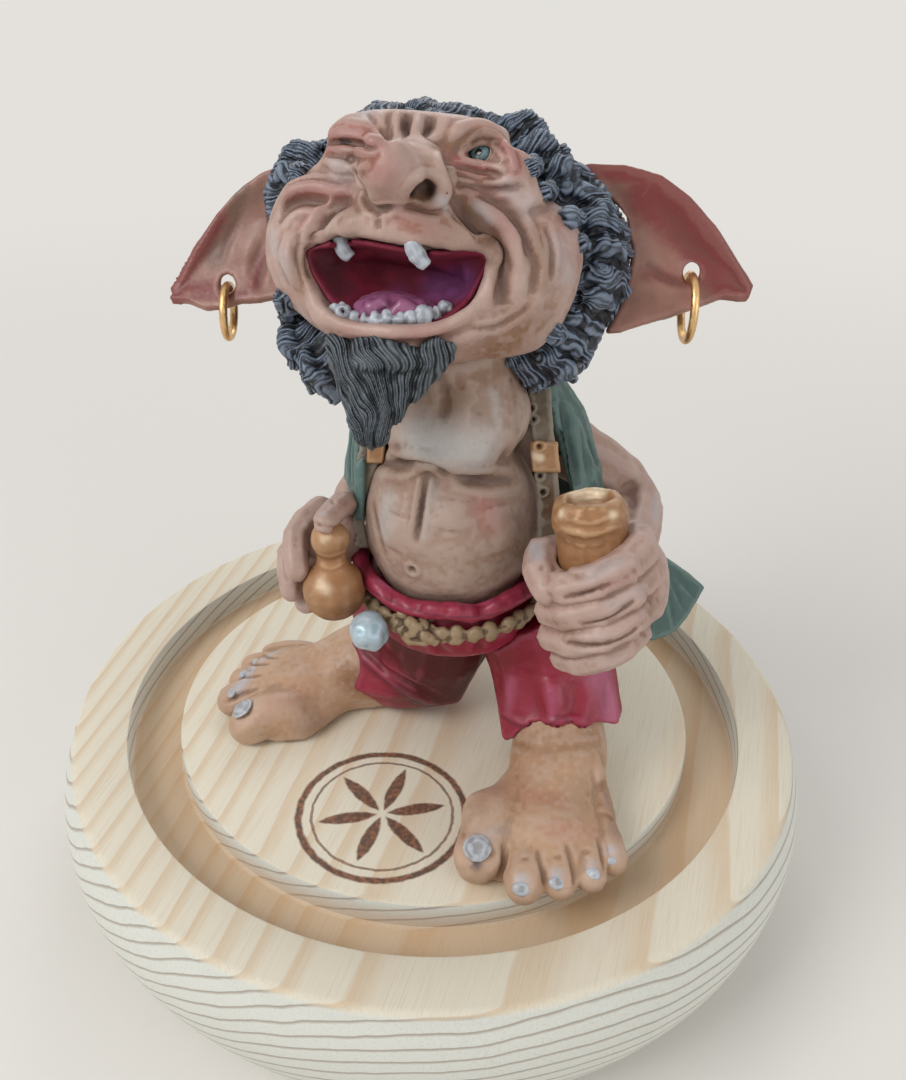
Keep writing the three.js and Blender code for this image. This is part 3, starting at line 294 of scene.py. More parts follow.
class Clay:
    def __init__(self, label, sources, grain, melt, swell, lumps=()):
        self.piece = joinPieces([copyNode(source, label) for source in sources] + list(lumps))
        self.piece.name = label
        self.marks = {}
        regrained(self.piece, grain)
        self.read()
        raw = self.spots.copy()
        meltedDown(self.piece, melt)
        self.read()
        lost = ((raw - self.spots) * self.normals).sum(1)
        self.spots += self.normals * (self.averaged(lost[:, None], melt)[:, 0] + swell)[:, None]
        self.renew()

    def add(self, lumps, melt, grain):
        self.renew()
        self.piece = joinPieces([self.piece] + [lump for lump in lumps if lump])
        regrained(self.piece, grain)
        meltedDown(self.piece, melt)
        self.read()

    def read(self):
        mesh = self.piece.data
        flat = np.empty(len(mesh.vertices) * 3, dtype=np.float32)
        mesh.vertices.foreach_get("co", flat)
        self.spots = flat.reshape(-1, 3).astype(float) * 1000
        pairs = np.empty(len(mesh.edges) * 2, dtype=np.int32)
        mesh.edges.foreach_get("vertices", pairs)
        self.pairs = pairs.reshape(-1, 2)
        self.face()

    def face(self):
        flat = np.empty(len(self.piece.data.vertices) * 3, dtype=np.float32)
        self.piece.data.vertex_normals.foreach_get("vector", flat)
        self.normals = flat.reshape(-1, 3).astype(float)

    def renew(self):
        self.piece.data.vertices.foreach_set("co", (self.spots * mm).astype(np.float32).ravel())
        self.piece.data.update()
        self.face()
        bpy.context.view_layer.update()

    def averaged(self, values, rounds):
        one, other = self.pairs[:, 0], self.pairs[:, 1]
        count = len(self.spots)
        degree = np.maximum(np.bincount(one, minlength=count) + np.bincount(other, minlength=count), 1)
        for _ in range(rounds):
            total = np.stack([
                np.bincount(one, weights=values[other, k], minlength=count)
                + np.bincount(other, weights=values[one, k], minlength=count)
                for k in range(values.shape[1])], axis=1)
            values = total / degree[:, None]
        return values

    def traced(self, pixels, steps=5):
        return np.array(tracedOver([self.piece], pixels, 0.0, steps))

    def near(self, path, reach):
        if len(path) == 0:
            return np.array([], int), np.array([]), np.array([])
        low, high = path.min(0) - reach, path.max(0) + reach
        chosen = np.nonzero(np.all((self.spots > low) & (self.spots < high), axis=1))[0]
        spots = self.spots[chosen]
        if len(path) == 1:
            return chosen, np.linalg.norm(spots - path[0], axis=1), np.full(len(chosen), 0.5)
        best = np.full(len(chosen), np.inf)
        share = np.zeros(len(chosen))
        lengths = np.linalg.norm(np.diff(path, axis=0), axis=1)
        whole = max(lengths.sum(), clayFeel["shortest"])
        gone = 0.0
        for start, end, length in zip(path, path[1:], lengths):
            if length < clayFeel["shortest"]:
                continue
            way = end - start
            t = np.clip((spots - start) @ way / length ** 2, 0, 1)
            far = np.linalg.norm(spots - start - t[:, None] * way, axis=1)
            closer = far < best
            best[closer] = far[closer]
            share[closer] = (gone + t[closer] * length) / whole
            gone += length
        return chosen, best, share

    def mark(self, name):
        if name not in self.marks:
            self.marks[name] = np.zeros(len(self.spots))
        return self.marks[name]

    # one stroke: pressed in (height below 0, with a lip beside it) or raised
    def work(self, path, width, height, washAndShade=0.0):
        chosen, far, share = self.near(np.atleast_2d(path), width * clayFeel["reach"])
        if len(chosen) == 0:
            return
        fade = np.ones(len(chosen))
        if len(path) > 1:
            fade = np.sqrt(np.clip(np.sin(np.pi * share), clayFeel["endFade"], 1))
        rise = height * np.exp(-(far / width) ** 2)
        if height < 0:
            beside = (far - clayFeel["lipPlace"] * width) / (clayFeel["lipWide"] * width)
            rise -= clayFeel["lip"] * height * np.exp(-beside ** 2)
        self.spots[chosen] += self.normals[chosen] * (rise * fade)[:, None]
        # a pressed stroke can darken its crease: partly wash, partly painted shade
        if washAndShade:
            shade = self.mark("washAndShade")
            washAndShadeLaid = washAndShade * fade * np.exp(-(far / (width * clayFeel["washAndShadeWide"])) ** 2)
            shade[chosen] = np.maximum(shade[chosen], washAndShadeLaid)

    # lines of (width, height, wash and painted shade, pixels), all found before the first is worked
    def strokes(self, lines):
        paths = [self.traced(line[-1]) for line in lines]
        for path, (width, height, washAndShade, _) in zip(paths, lines):
            if len(path):
                self.work(path, width, height, washAndShade)
        self.renew()

    # lines of (width, amount, pixels) for each mark; the marks carry stains and also painted highlights and
    # painted shade
    def stainsAndLight(self, marked):
        for name, lines in marked.items():
            for width, amount, pixels in lines:
                path = self.traced(pixels)
                if len(path):
                    self.stainAndLightAlong(name, path, width, amount)

    def stainAndLightAlong(self, name, path, width, amount):
        chosen, far, _ = self.near(np.atleast_2d(path), width * clayFeel["stainAndLightReach"])
        values = self.mark(name)
        values[chosen] = np.maximum(values[chosen], amount * np.exp(-(far / width) ** 2))

    def soften(self, pixels, width, rounds):
        chosen, far, _ = self.near(self.traced(pixels), width * clayFeel["softReach"])
        weight = np.zeros(len(self.spots))
        weight[chosen] = np.minimum(clayFeel["softShare"] * np.exp(-(far / width) ** 2), 1)
        self.spots += (self.averaged(self.spots, rounds) - self.spots) * weight[:, None]
        self.renew()

    def rough(self, size, depth, seed):
        self.spots += self.normals * (grit(self.spots, size, seed) * depth)[:, None]

    # rolls laid over the clay and joined to it, then softened, stage by stage
    def build(self, stages, over=()):
        for stage in stages:
            lumps = [laidRoll([self.piece, *over], *line) for line in stage["rolls"]]
            self.add(lumps, stage["melt"], stage["grain"])
            for pixels, width, rounds in stage.get("softens", ()):
                self.soften(pixels, width, rounds)

    def carve(self, strokes=(), softens=(), grit=(), stainsAndLight=None):
        if strokes:
            self.strokes(strokes)
        for pixels, width, rounds in softens:
            self.soften(pixels, width, rounds)
        for size, depth, seed in grit:
            self.rough(size, depth, seed)
        self.renew()
        self.stainsAndLight(stainsAndLight or {})

    def finish(self, finish, slotName, *replaced, close=0.06, wide=0.45):
        self.renew()
        # crest and hollow marks from fine and broad averaging; the paint makes crests lighter and hollows
        # darker, partly dry-brush and wash, partly painted highlight and painted shade
        rise = np.zeros(len(self.spots))
        for rounds, scale in ((clayFeel["fine"], close), (clayFeel["broad"], wide)):
            rise += ((self.spots - self.averaged(self.spots, rounds)) * self.normals).sum(1) / scale
        self.marks["crest"] = np.clip(rise, 0, 1)
        self.marks["hollow"] = np.clip(-rise, 0, 1)
        for name in paintMarks:
            self.mark(name)
        for name, values in self.marks.items():
            layer = self.piece.data.attributes.new(name, "FLOAT", "POINT")
            layer.data.foreach_set("value", values.astype(np.float32))
        finishPiece(self.piece, finish, slotName, *replaced)
        print("made", self.piece.name, len(self.piece.data.polygons), "faces")


# one piece from start to end: lumps, shaping, rolls, strokes, grit, stains with painted light and shade, and
# paint
def sculpted(label, node, paint, slotName, clay, lumps=(), fresh=False, shaping=None, stages=(), over=(),
             strokes=(), softens=(), grit=(), stainsAndLight=None, **look):
    made = Clay(label, [] if fresh else [node], *clay, lumps)
    if shaping:
        shaping(made)
    made.build(stages, over)
    made.carve(strokes, softens, grit, stainsAndLight)
    made.finish(finishes[paint], slotName, *([node] if node else []), **look)
    return made


# materials

def tone(red, green, blue):
    def linear(value):
        value /= 255
        return value / 12.92 if value <= 0.04045 else ((value + 0.055) / 1.055) ** 2.4
    return (linear(red), linear(green), linear(blue), 1.0)


def blended(one, other, share):
    return [one[k] * (1 - share) + other[k] * share for k in range(3)] + [1.0]


class Value:
    def __init__(self, finish, socket):
        self.finish = finish
        self.socket = socket

    def maths(self, work, *values):
        return self.finish.make("ShaderNodeMath", {"operation": work}, dict(enumerate(values)))

    def __add__(self, other):
        return self.maths("ADD", self, other)

    def __radd__(self, other):
        return self.maths("ADD", other, self)

    def __sub__(self, other):
        return self.maths("SUBTRACT", self, other)

    def __rsub__(self, other):
        return self.maths("SUBTRACT", other, self)

    def __mul__(self, other):
        return self.maths("MULTIPLY", self, other)

    def __rmul__(self, other):
        return self.maths("MULTIPLY", other, self)

    def __truediv__(self, other):
        return self.maths("DIVIDE", self, other)

    def __rtruediv__(self, other):
        return self.maths("DIVIDE", other, self)

    def __pow__(self, other):
        return self.maths("POWER", self, other)


class Finish:
    def __init__(self, name, rough=0.5, metal=0.0, coat=0.0, coatRough=0.2):
        self.material = bpy.data.materials.new(name)
        self.material.use_nodes = True
        self.tree = self.material.node_tree
        self.shader = self.tree.nodes["Principled BSDF"]
        self.shader.inputs["Roughness"].default_value = rough
        self.shader.inputs["Metallic"].default_value = metal
        self.shader.inputs["Coat Weight"].default_value = coat
        self.shader.inputs["Coat Roughness"].default_value = coatRough
        self.place = self.make("ShaderNodeTexCoord", {}, {}, "Object")

    def make(self, kind, settings, values, out=0):
        node = self.tree.nodes.new(kind)
        for name, value in settings.items():
            setattr(node, name, value)
        for key, value in values.items():
            if isinstance(value, Value):
                self.tree.links.new(value.socket, node.inputs[key])
            else:
                node.inputs[key].default_value = value
        return Value(self, node.outputs[out])

    def noise(self, size, detail=3.0, rough=0.55, bend=0.0, place=None):
        return self.make("ShaderNodeTexNoise", {}, {
            "Vector": place or self.place, "Scale": 1 / (size * mm), "Detail": detail,
            "Roughness": rough, "Distortion": bend})

    def mark(self, name):
        return self.make("ShaderNodeAttribute", {"attribute_name": name}, {}, "Fac")

    def between(self, value, low, high):
        smooth = {"interpolation_type": "SMOOTHSTEP"}
        return self.make("ShaderNodeMapRange", smooth, {0: value, 1: low, 2: high})

    def mixed(self, share, one, other):
        return self.make("ShaderNodeMix", {"data_type": "RGBA"}, {0: share, 6: one, 7: other}, 2)

    def mapped(self, place, socket, numbers):
        return self.make("ShaderNodeMapping", {}, {"Vector": place, socket: numbers})

    def axis(self, place, name):
        return self.make("ShaderNodeSeparateXYZ", {}, {0: place}, name)

    def length(self, place):
        return self.make("ShaderNodeVectorMath", {"operation": "LENGTH"}, {0: place}, "Value")

    def link(self, value, name):
        self.tree.links.new(value.socket, self.shader.inputs[name])

    def bump(self, height, depth):
        values = {"Height": height, "Distance": depth * mm, "Strength": 1.0}
        self.link(self.make("ShaderNodeBump", {}, values, "Normal"), "Normal")


# painted clay: a base colour in patches, stains and painted light where the marks are, lighter crests that
# are partly dry-brushed paint and partly painted highlight, and darker hollows and crease lines that are
# partly wash and partly painted shade

paintNoise = {"cloud": (6, 4, 0.6), "fine": (1.1, 4, 0.62), "drift": (9, 4, 0.6, 0.4), "dots": (0.5, 2, 0.5),
              "pits": (0.9, 2, 0.5)}
paintEdges = {
    "cloud": (0.38, 0.68), "drift": (0.5, 0.7), "stainAndLight": (0.05, 1.0), "crest": (0.25, 0.95),
    "soft": (0.05, 1.15), "washAndShade": (0.5, 1.3), "dark": (0.2, 0.75), "brushAndHighlight": (0.45, 0.9), "ridge": (0.3, 0.9),
    "gap": (0.0, 0.4), "dots": (0.70, 0.76), "pits": (0.27, 0.22),
}
paintFeel = {
    "patchDeep": 0.28, "driftBright": 0.55, "softDeep": 0.75, "fineBreak": 0.7, "cloudBreak": 0.4,
    "hollowPart": 0.6, "washAndShadePart": 0.65, "darkBreak": 0.6, "pitShare": 2.5, "pitDepth": 0.8,
    "roughSpread": 0.3, "crestPolish": 0.06,
    "brushAndHighlightBase": 0.35, "brushAndHighlightFine": 1.2, "brushAndHighlightCloud": 0.5, "ridgeCloud": 0.6, "strandHeight": 1.4,
}
plainPaint = {"rough": 0.5, "metal": 0.0, "patch": 0.5, "speck": 0.12, "pore": 0.08, "crest": 0.25,
              "hollow": 0.7, "strand": 0.0}
shadeNames = ("base", "deep", "bright", "brown", "pink", "pale", "dark")


def paintedClay(name, chosen):
    look = {**plainPaint, **chosen}
    shade = {key: tone(*look[key]) for key in shadeNames if key in look}
    base, deep, bright = shade["base"], shade["deep"], shade["bright"]
    paint = Finish(name, look["rough"], look["metal"])
    noise = {key: paint.noise(*numbers) for key, numbers in paintNoise.items()}
    cloud, fine = noise["cloud"], noise["fine"]
    crest, washAndShade = paint.mark("crest"), paint.mark("washAndShade")
    broken = (fine - 0.5) * paintFeel["fineBreak"] + (cloud - 0.5) * paintFeel["cloudBreak"]

    def laid(under, over, value, edge, share=1.0):
        return paint.mixed(paint.between(value, *paintEdges[edge]) * share, under, over)

    colour = laid(base, blended(base, deep, paintFeel["patchDeep"]), cloud, "cloud", look["patch"])
    drifted = blended(base, bright, paintFeel["driftBright"])
    colour = laid(colour, drifted, noise["drift"], "drift", look["patch"])
    # the marked stains include painted highlights and painted shade as well as real stains
    for stainAndLight in ("brown", "pink", "pale"):
        if stainAndLight in shade:
            colour = laid(colour, shade[stainAndLight], paint.mark(stainAndLight) * (1 + broken), "stainAndLight")
    # crests take the bright colour: partly dry-brushed paint, partly painted highlight
    colour = laid(colour, bright, crest * (1 + broken), "crest", look["crest"])
    # hollows and crease lines take the deep colour: partly wash, partly painted shade
    soft = paint.mark("hollow") * paintFeel["hollowPart"] + washAndShade * paintFeel["washAndShadePart"]
    softened = blended(base, deep, paintFeel["softDeep"])
    colour = laid(colour, softened, soft * (1 + broken), "soft", look["hollow"])
    colour = laid(colour, deep, washAndShade * washAndShade * (1 + broken), "washAndShade", look["hollow"])
    if "dark" in shade:
        stained = paint.mark("dark") * (1 + broken * paintFeel["darkBreak"])
        colour = laid(colour, shade["dark"], stained, "dark")
    height = fine
    if look["strand"]:
        strand = paint.mark("strand")
        waves = strand.maths("SINE", strand)
        lines = waves.maths("ABSOLUTE", waves)
        # bright lines on the strand ridges: partly dry-brushed paint, partly painted highlight
        brushAndHighlight = lines * (paintFeel["brushAndHighlightBase"] + fine * paintFeel["brushAndHighlightFine"])
        brushAndHighlight = brushAndHighlight * (paintFeel["brushAndHighlightCloud"] + cloud)
        ridge = paint.between(crest + cloud * paintFeel["ridgeCloud"], *paintEdges["ridge"])
        colour = laid(colour, bright, brushAndHighlight, "brushAndHighlight", ridge * look["strand"])
        # deep colour in the gaps between strands: partly dark paint, partly painted shade
        gap = 1 - paint.between(lines, *paintEdges["gap"])
        colour = paint.mixed(gap * look["strand"], colour, deep)
        height = height + lines * paintFeel["strandHeight"]
    pits = paint.between(noise["pits"], *paintEdges["pits"])
    colour = laid(colour, bright, noise["dots"], "dots", look["speck"])
    colour = paint.mixed(pits * look["speck"] * paintFeel["pitShare"], colour, deep)
    paint.link(colour, "Base Color")
    worn = look["rough"] + (fine - 0.5) * paintFeel["roughSpread"] - crest * paintFeel["crestPolish"]
    paint.link(worn, "Roughness")
    paint.bump(height - pits * paintFeel["pitDepth"], look["pore"])
    return paint.material


# in every paint the bright colour goes on crests and the deep colour in hollows and creases: partly the
# figure's own paint, partly painted highlight and painted shade
paints = {
    "skinPaint": {
        "base": (174, 142, 128), "deep": (70, 40, 28), "bright": (198, 180, 174), "pink": (150, 84, 76),
        "brown": (126, 88, 60), "dark": (46, 28, 20), "pale": (172, 170, 174), "rough": 0.52, "hollow": 0.85},
    "trunkPaint": {
        "base": (160, 132, 116), "deep": (62, 42, 34), "bright": (190, 176, 166), "pink": (156, 92, 84),
        "brown": (122, 88, 58), "dark": (38, 34, 40), "pale": (186, 186, 186), "rough": 0.54, "hollow": 0.85},
    "footPaint": {
        "base": (184, 148, 118), "deep": (76, 46, 34), "bright": (198, 178, 164), "pink": (180, 122, 104),
        "brown": (134, 92, 60), "dark": (62, 52, 60), "pale": (178, 184, 196), "rough": 0.52},
    "earPaint": {
        "base": (146, 102, 88), "deep": (66, 34, 28), "bright": (180, 138, 126), "pink": (116, 46, 44),
        "brown": (108, 80, 66), "dark": (44, 22, 24), "pale": (176, 150, 140), "rough": 0.46, "crest": 0.15},
    # hair and beard: bright is laid on strand ridges, and deep and dark in the gaps, partly as painted
    # highlight and painted shade
    "hairPaint": {
        "base": (29, 37, 50), "deep": (9, 11, 15), "bright": (130, 145, 166), "pale": (128, 140, 154),
        "dark": (14, 15, 18), "patch": 0.4, "crest": 0.4, "hollow": 0.85, "speck": 0.1, "strand": 0.6,
        "pore": 0.22},
    "beardPaint": {
        "base": (31, 38, 44), "deep": (9, 10, 12), "bright": (106, 116, 124), "pale": (120, 130, 140),
        "dark": (14, 15, 18), "patch": 0.4, "crest": 0.35, "speck": 0.1, "strand": 0.6, "pore": 0.2},
    # crimson: pink is partly painted highlight on fold ridges, brown is painted shade on the rear leg, dark
    # is partly painted shade under the frill's rolled edge
    "crimsonPaint": {
        "base": (136, 22, 46), "deep": (44, 4, 16), "bright": (172, 74, 104), "pink": (166, 84, 112),
        "brown": (76, 5, 14), "dark": (52, 16, 40), "pale": (160, 124, 146), "rough": 0.46, "patch": 0.3,
        "hollow": 0.4},
    "greenPaint": {
        "base": (66, 94, 90), "deep": (24, 38, 38), "bright": (112, 138, 132), "dark": (26, 38, 38),
        "pale": (140, 158, 152), "brown": (74, 70, 54), "rough": 0.52, "crest": 0.4},
    # gold: pale is laid as painted highlight on cup, gourd and buckle, brown as painted shade on the gourd's
    # far side and in the cup's dimple
    "goldPaint": {
        "base": (158, 114, 76), "deep": (78, 46, 26), "bright": (206, 172, 134), "brown": (122, 80, 48),
        "dark": (70, 40, 20), "pale": (232, 214, 184), "rough": 0.46, "metal": 0.12, "crest": 0.35,
        "hollow": 0.35, "speck": 0.02},
    "strapPaint": {
        "base": (110, 94, 76), "deep": (46, 32, 24), "bright": (160, 152, 138), "dark": (24, 16, 12),
        "brown": (92, 66, 42), "rough": 0.55, "crest": 0.5},
    "bonePaint": {
        "base": (98, 76, 52), "deep": (28, 16, 10), "bright": (158, 136, 106), "dark": (22, 13, 9),
        "brown": (80, 54, 34), "crest": 0.75},
    "ivoryPaint": {
        "base": (154, 160, 168), "deep": (78, 66, 70), "bright": (200, 206, 214), "dark": (60, 40, 46),
        "rough": 0.34, "patch": 0.6, "crest": 0.4},
    "nailPaint": {
        "base": (150, 151, 154), "deep": (70, 62, 70), "bright": (200, 206, 214), "rough": 0.38, "patch": 0.7,
        "crest": 0.5},
    "mouthPaint": {
        "base": (112, 8, 38), "deep": (46, 2, 12), "bright": (140, 52, 90), "pink": (128, 66, 122),
        "dark": (58, 2, 14), "rough": 0.8, "crest": 0.1, "speck": 0.02},
    "tonguePaint": {
        "base": (134, 74, 110), "deep": (74, 20, 48), "bright": (176, 122, 156), "pink": (150, 92, 112),
        "rough": 0.36, "speck": 0.03},
    "silverPaint": {
        "base": (150, 172, 184), "deep": (76, 90, 104), "bright": (214, 228, 236), "rough": 0.4, "metal": 0.2,
        "patch": 0.9},
}
finishes = {name: paintedClay(name, look) for name, look in paints.items()}

eyeLook = {
    "white": (196, 190, 188), "vein": (160, 132, 126), "corner": (118, 58, 52), "iris": (74, 108, 118),
    "ray": (118, 146, 150), "ring": (26, 46, 58), "pupil": (8, 10, 12),
    "veinNoise": (1.6, 3), "veinEdge": (0.4, 0.7), "rayNoise": (0.5, 4, 0.6), "rayEdge": (0.35, 0.65),
    "ringEdge": (0.62, 0.40), "irisEdge": (0.355, 0.385), "pupilEdge": (0.34, 0.40),
    "rough": 0.2, "coat": 0.5, "coatRough": 0.1, "grain": 0.03,
}


def eyeFinish():
    eye = Finish("eyeVarnish", eyeLook["rough"], 0.0, eyeLook["coat"], eyeLook["coatRough"])
    shade = {key: tone(*eyeLook[key]) for key in ("white", "vein", "corner", "iris", "ray", "ring", "pupil")}
    iris, pupil = eye.mark("iris"), eye.mark("pupil")
    rays = eye.noise(*eyeLook["rayNoise"])
    veins = eye.between(eye.noise(*eyeLook["veinNoise"]), *eyeLook["veinEdge"])
    white = eye.mixed(eye.mark("pink"), eye.mixed(veins, shade["white"], shade["vein"]), shade["corner"])
    blue = eye.mixed(eye.between(rays, *eyeLook["rayEdge"]), shade["iris"], shade["ray"])
    blue = eye.mixed(eye.between(iris, *eyeLook["ringEdge"]), blue, shade["ring"])
    colour = eye.mixed(eye.between(iris, *eyeLook["irisEdge"]), white, blue)
    colour = eye.mixed(eye.between(pupil, *eyeLook["pupilEdge"]), colour, shade["pupil"])
    eye.link(colour, "Base Color")
    eye.bump(rays, eyeLook["grain"])
    return eye.material


finishes["eyeVarnish"] = eyeFinish()

wireLook = {"goldWire": ((236, 196, 140), 0.36), "steelWire": ((150, 150, 152), 0.4)}
wireWear = {"noise": (1.2, 4), "dull": 0.55, "share": 0.5, "spread": 0.2, "scratches": (0.6, 3),
            "depth": 0.02}


def wireFinish(name, shade, rough):
    wire = Finish(name, rough, 1.0)
    colour = tone(*shade)
    wear = wire.noise(*wireWear["noise"])
    dulled = [c * wireWear["dull"] for c in colour[:3]] + [1.0]
    wire.link(wire.mixed(wear * wireWear["share"], colour, dulled), "Base Color")
    wire.link(rough + (wear - 0.5) * wireWear["spread"], "Roughness")
    wire.bump(wire.noise(*wireWear["scratches"]), wireWear["depth"])
    return wire.material


for wireName, wireNumbers in wireLook.items():
    finishes[wireName] = wireFinish(wireName, *wireNumbers)


# plinth: one turned blank of pine with a groove round the island, and a burnt rosette

plinth = {
    "sides": 256, "foot": 89.7, "top": 100.0, "high": 46.0, "belly": 15.2, "bellySteps": 24, "rim": 2.5,
    "outer": 85.0, "island": 71.3, "grooveFloor": 37.0, "islandTop": 45.0, "soften": 0.8, "inset": 0.8,
    "floorRound": (0.9, 0.7), "islandEdge": [(0, 1.3), (0.35, 0.4), (1.2, 0)],  # edge: inwards and down
    "creaseAngle": 35,
}
pineLook = {
    "turn": 16.0, "side": 46.0, "below": 118.0, "ring": 3.3, "lean": 0.04,
    "stretch": 0.16, "fibreStretch": 0.03, "sway": (46, 2, 0.5), "small": (9, 3, 0.5), "fibre": (0.5, 4, 0.6),
    "wave": 2.4, "smallWave": 0.35, "late": ((0.42, 0.92), (0.93, 1.0)), "thin": ((0.70, 0.92), (0.94, 1.0)),
    # ring and body colours come as side and top copies: partly how the grain shows on each face, partly
    # painted light, the sides cooler as under daylight
    "upward": (0.35, 0.85), "ringShades": ((150, 136, 122), (206, 178, 142)),  # side and top
    "bodyShades": ((216, 218, 210), (222, 215, 196)), "fibreShade": (176, 146, 110), "fibreEdge": (0.45, 0.7),
    # the groove's tone and amount are painted shade with warm reflected light
    "fibreShare": 0.18, "grooveShadowTone": (190, 146, 98), "grooveShadowAmount": 0.55,
    "thinShare": 0.75, "lateLeast": 0.3, "lateSpread": 0.5, "rough": 0.55, "roughSpread": 0.2,
    "fibreHeight": 0.35, "ringDepth": 0.5, "dust": (0.35, 2), "dustHeight": 0.3, "relief": 0.12,
    "islandFade": (-0.5, 0.3), "wallFade": (-0.6, 0.2), "floorFade": 1,
}
rosette = {
    "spot": (-12.0, -43.5), "ring": 21.0, "innerRing": 17.8, "line": 0.85,
    "petal": 17.5, "petals": 6, "start": 12,
    "wobble": (3.0, 3), "sway": 0.9, "petalEdge": (0.9, 0.2), "scorch": (1.4, 4), "scorchEdge": (0.25, 0.6),
    "shades": ((150, 88, 48), (70, 32, 18)), "share": 0.92, "lineEdge": (0.6, 1.5), "innerLine": (0.4, 0.8),
    "topEdge": (1.0, 0.4),
}


def plinthProfile():
    foot, top, high, rim, soft = (plinth[k] for k in ("foot", "top", "high", "rim", "soften"))
    outer, island, low, crown = (plinth[k] for k in ("outer", "island", "grooveFloor", "islandTop"))
    middle = ((foot + top) / 2 + plinth["belly"], high / 2)
    end = (top, high - rim)
    line = [(0, 0), (foot - plinth["inset"], 0)]
    for t in np.linspace(0, 1, plinth["bellySteps"])[1:]:
        line.append(tuple((1 - t) ** 2 * a + 2 * t * (1 - t) * b + t * t * c
                          for a, b, c in zip((foot, 0), middle, end)))
    for angle in np.linspace(0, math.pi / 2, 6)[1:]:
        line.append((top - rim + rim * math.cos(angle), high - rim + rim * math.sin(angle)))
    atWall, atIsland = plinth["floorRound"]
    line += [(outer + soft, high), (outer + soft * 0.25, high - soft * 0.3), (outer, high - soft)]
    line += [(outer, low + atWall), (outer - atWall, low), (island + atIsland, low), (island, low + atIsland)]
    line += [(island - inwards, crown - down) for inwards, down in plinth["islandEdge"]]
    return line + [(0, crown)]


def turnedPiece(label, profile):
    mesh = bpy.data.meshes.new(label)
    edges = [(i, i + 1) for i in range(len(profile) - 1)]
    mesh.from_pydata([(r * mm, 0, z * mm) for r, z in profile], edges, [])
    piece = bpy.data.objects.new(label, mesh)
    bpy.context.scene.collection.objects.link(piece)
    only(piece)
    bpy.ops.object.mode_set(mode="EDIT")
    bpy.ops.mesh.select_all(action="SELECT")
    bpy.ops.mesh.spin(steps=plinth["sides"], angle=2 * math.pi, center=(0, 0, 0), axis=(0, 0, 1))
    bpy.ops.mesh.select_all(action="SELECT")
    bpy.ops.mesh.remove_doubles(threshold=weld)
    bpy.ops.mesh.normals_make_consistent(inside=False)
    bpy.ops.object.mode_set(mode="OBJECT")
    bpy.ops.object.shade_smooth_by_angle(angle=math.radians(plinth["creaseAngle"]))
    return piece


def pineFinish():
    pine = Finish("pine", 0.62)
    turned = pine.mapped(pine.place, "Rotation", (0, 0, math.radians(pineLook["turn"])))
    stretched = pine.mapped(turned, "Scale", (1, pineLook["stretch"], 1))
    sway = pine.noise(*pineLook["sway"], 0, stretched)
    small = pine.noise(*pineLook["small"], 0, stretched)
    across, along, high = (pine.axis(turned, name) for name in "XYZ")
    aside = (across - pineLook["side"] * mm) + along * pineLook["lean"]
    above = high + pineLook["below"] * mm
    radius = (aside * aside + above * above) ** 0.5
    rings = radius / (pineLook["ring"] * mm) + (sway - 0.5) * pineLook["wave"]
    rings = rings + (small - 0.5) * pineLook["smallWave"]
    phase = rings.maths("FRACT", rings)

    def ridge(rise, fall):
        return pine.between(phase, *rise) * (1 - pine.between(phase, *fall))

    fibre = pine.noise(*pineLook["fibre"], 0, pine.mapped(turned, "Scale", (1, pineLook["fibreStretch"], 1)))
    facing = pine.axis(pine.make("ShaderNodeNewGeometry", {}, {}, "Normal"), "Z")
    # top and side coloured apart by the way each face is turned: partly grain, partly painted light
    top = pine.between(facing, *pineLook["upward"])
    ringTone, body = (pine.mixed(top, *(tone(*shade) for shade in pineLook[name]))
                      for name in ("ringShades", "bodyShades"))
    late = ridge(*pineLook["late"]) * (pineLook["lateLeast"] + small * pineLook["lateSpread"])
    share = pine.mixed(top, ridge(*pineLook["thin"]) * pineLook["thinShare"], late)
    colour = pine.mixed(share, body, ringTone)
    fibred = pine.between(fibre, *pineLook["fibreEdge"]) * pineLook["fibreShare"]
    colour = pine.mixed(fibred, colour, tone(*pineLook["fibreShade"]))
    # painted shade and warm reflected light in the groove round the island
    colour = pine.mixed(grooveShadowShare(pine, high), colour, tone(*pineLook["grooveShadowTone"]))
    colour = burntMark(pine, colour)
    pine.link(colour, "Base Color")
    pine.link(pineLook["rough"] + fibre * pineLook["roughSpread"], "Roughness")
    height = fibre * pineLook["fibreHeight"] - share * pineLook["ringDepth"]
    height = height + pine.noise(*pineLook["dust"]) * pineLook["dustHeight"]
    pine.bump(height, pineLook["relief"])
    return pine.material


# where the painted shade of the groove falls: between island and wall, deepest on its floor
def grooveShadowShare(pine, high):
    reach = pine.length(pine.mapped(pine.place, "Scale", (1, 1, 0)))
    island, outer, low = plinth["island"], plinth["outer"], plinth["grooveFloor"]
    inside = pine.between(reach, *((island + off) * mm for off in pineLook["islandFade"]))
    inside = inside * (1 - pine.between(reach, *((outer + off) * mm for off in pineLook["wallFade"])))
    deep = 1 - pine.between(high, (low + pineLook["floorFade"]) * mm, plinth["islandTop"] * mm)
    return inside * deep * pineLook["grooveShadowAmount"]


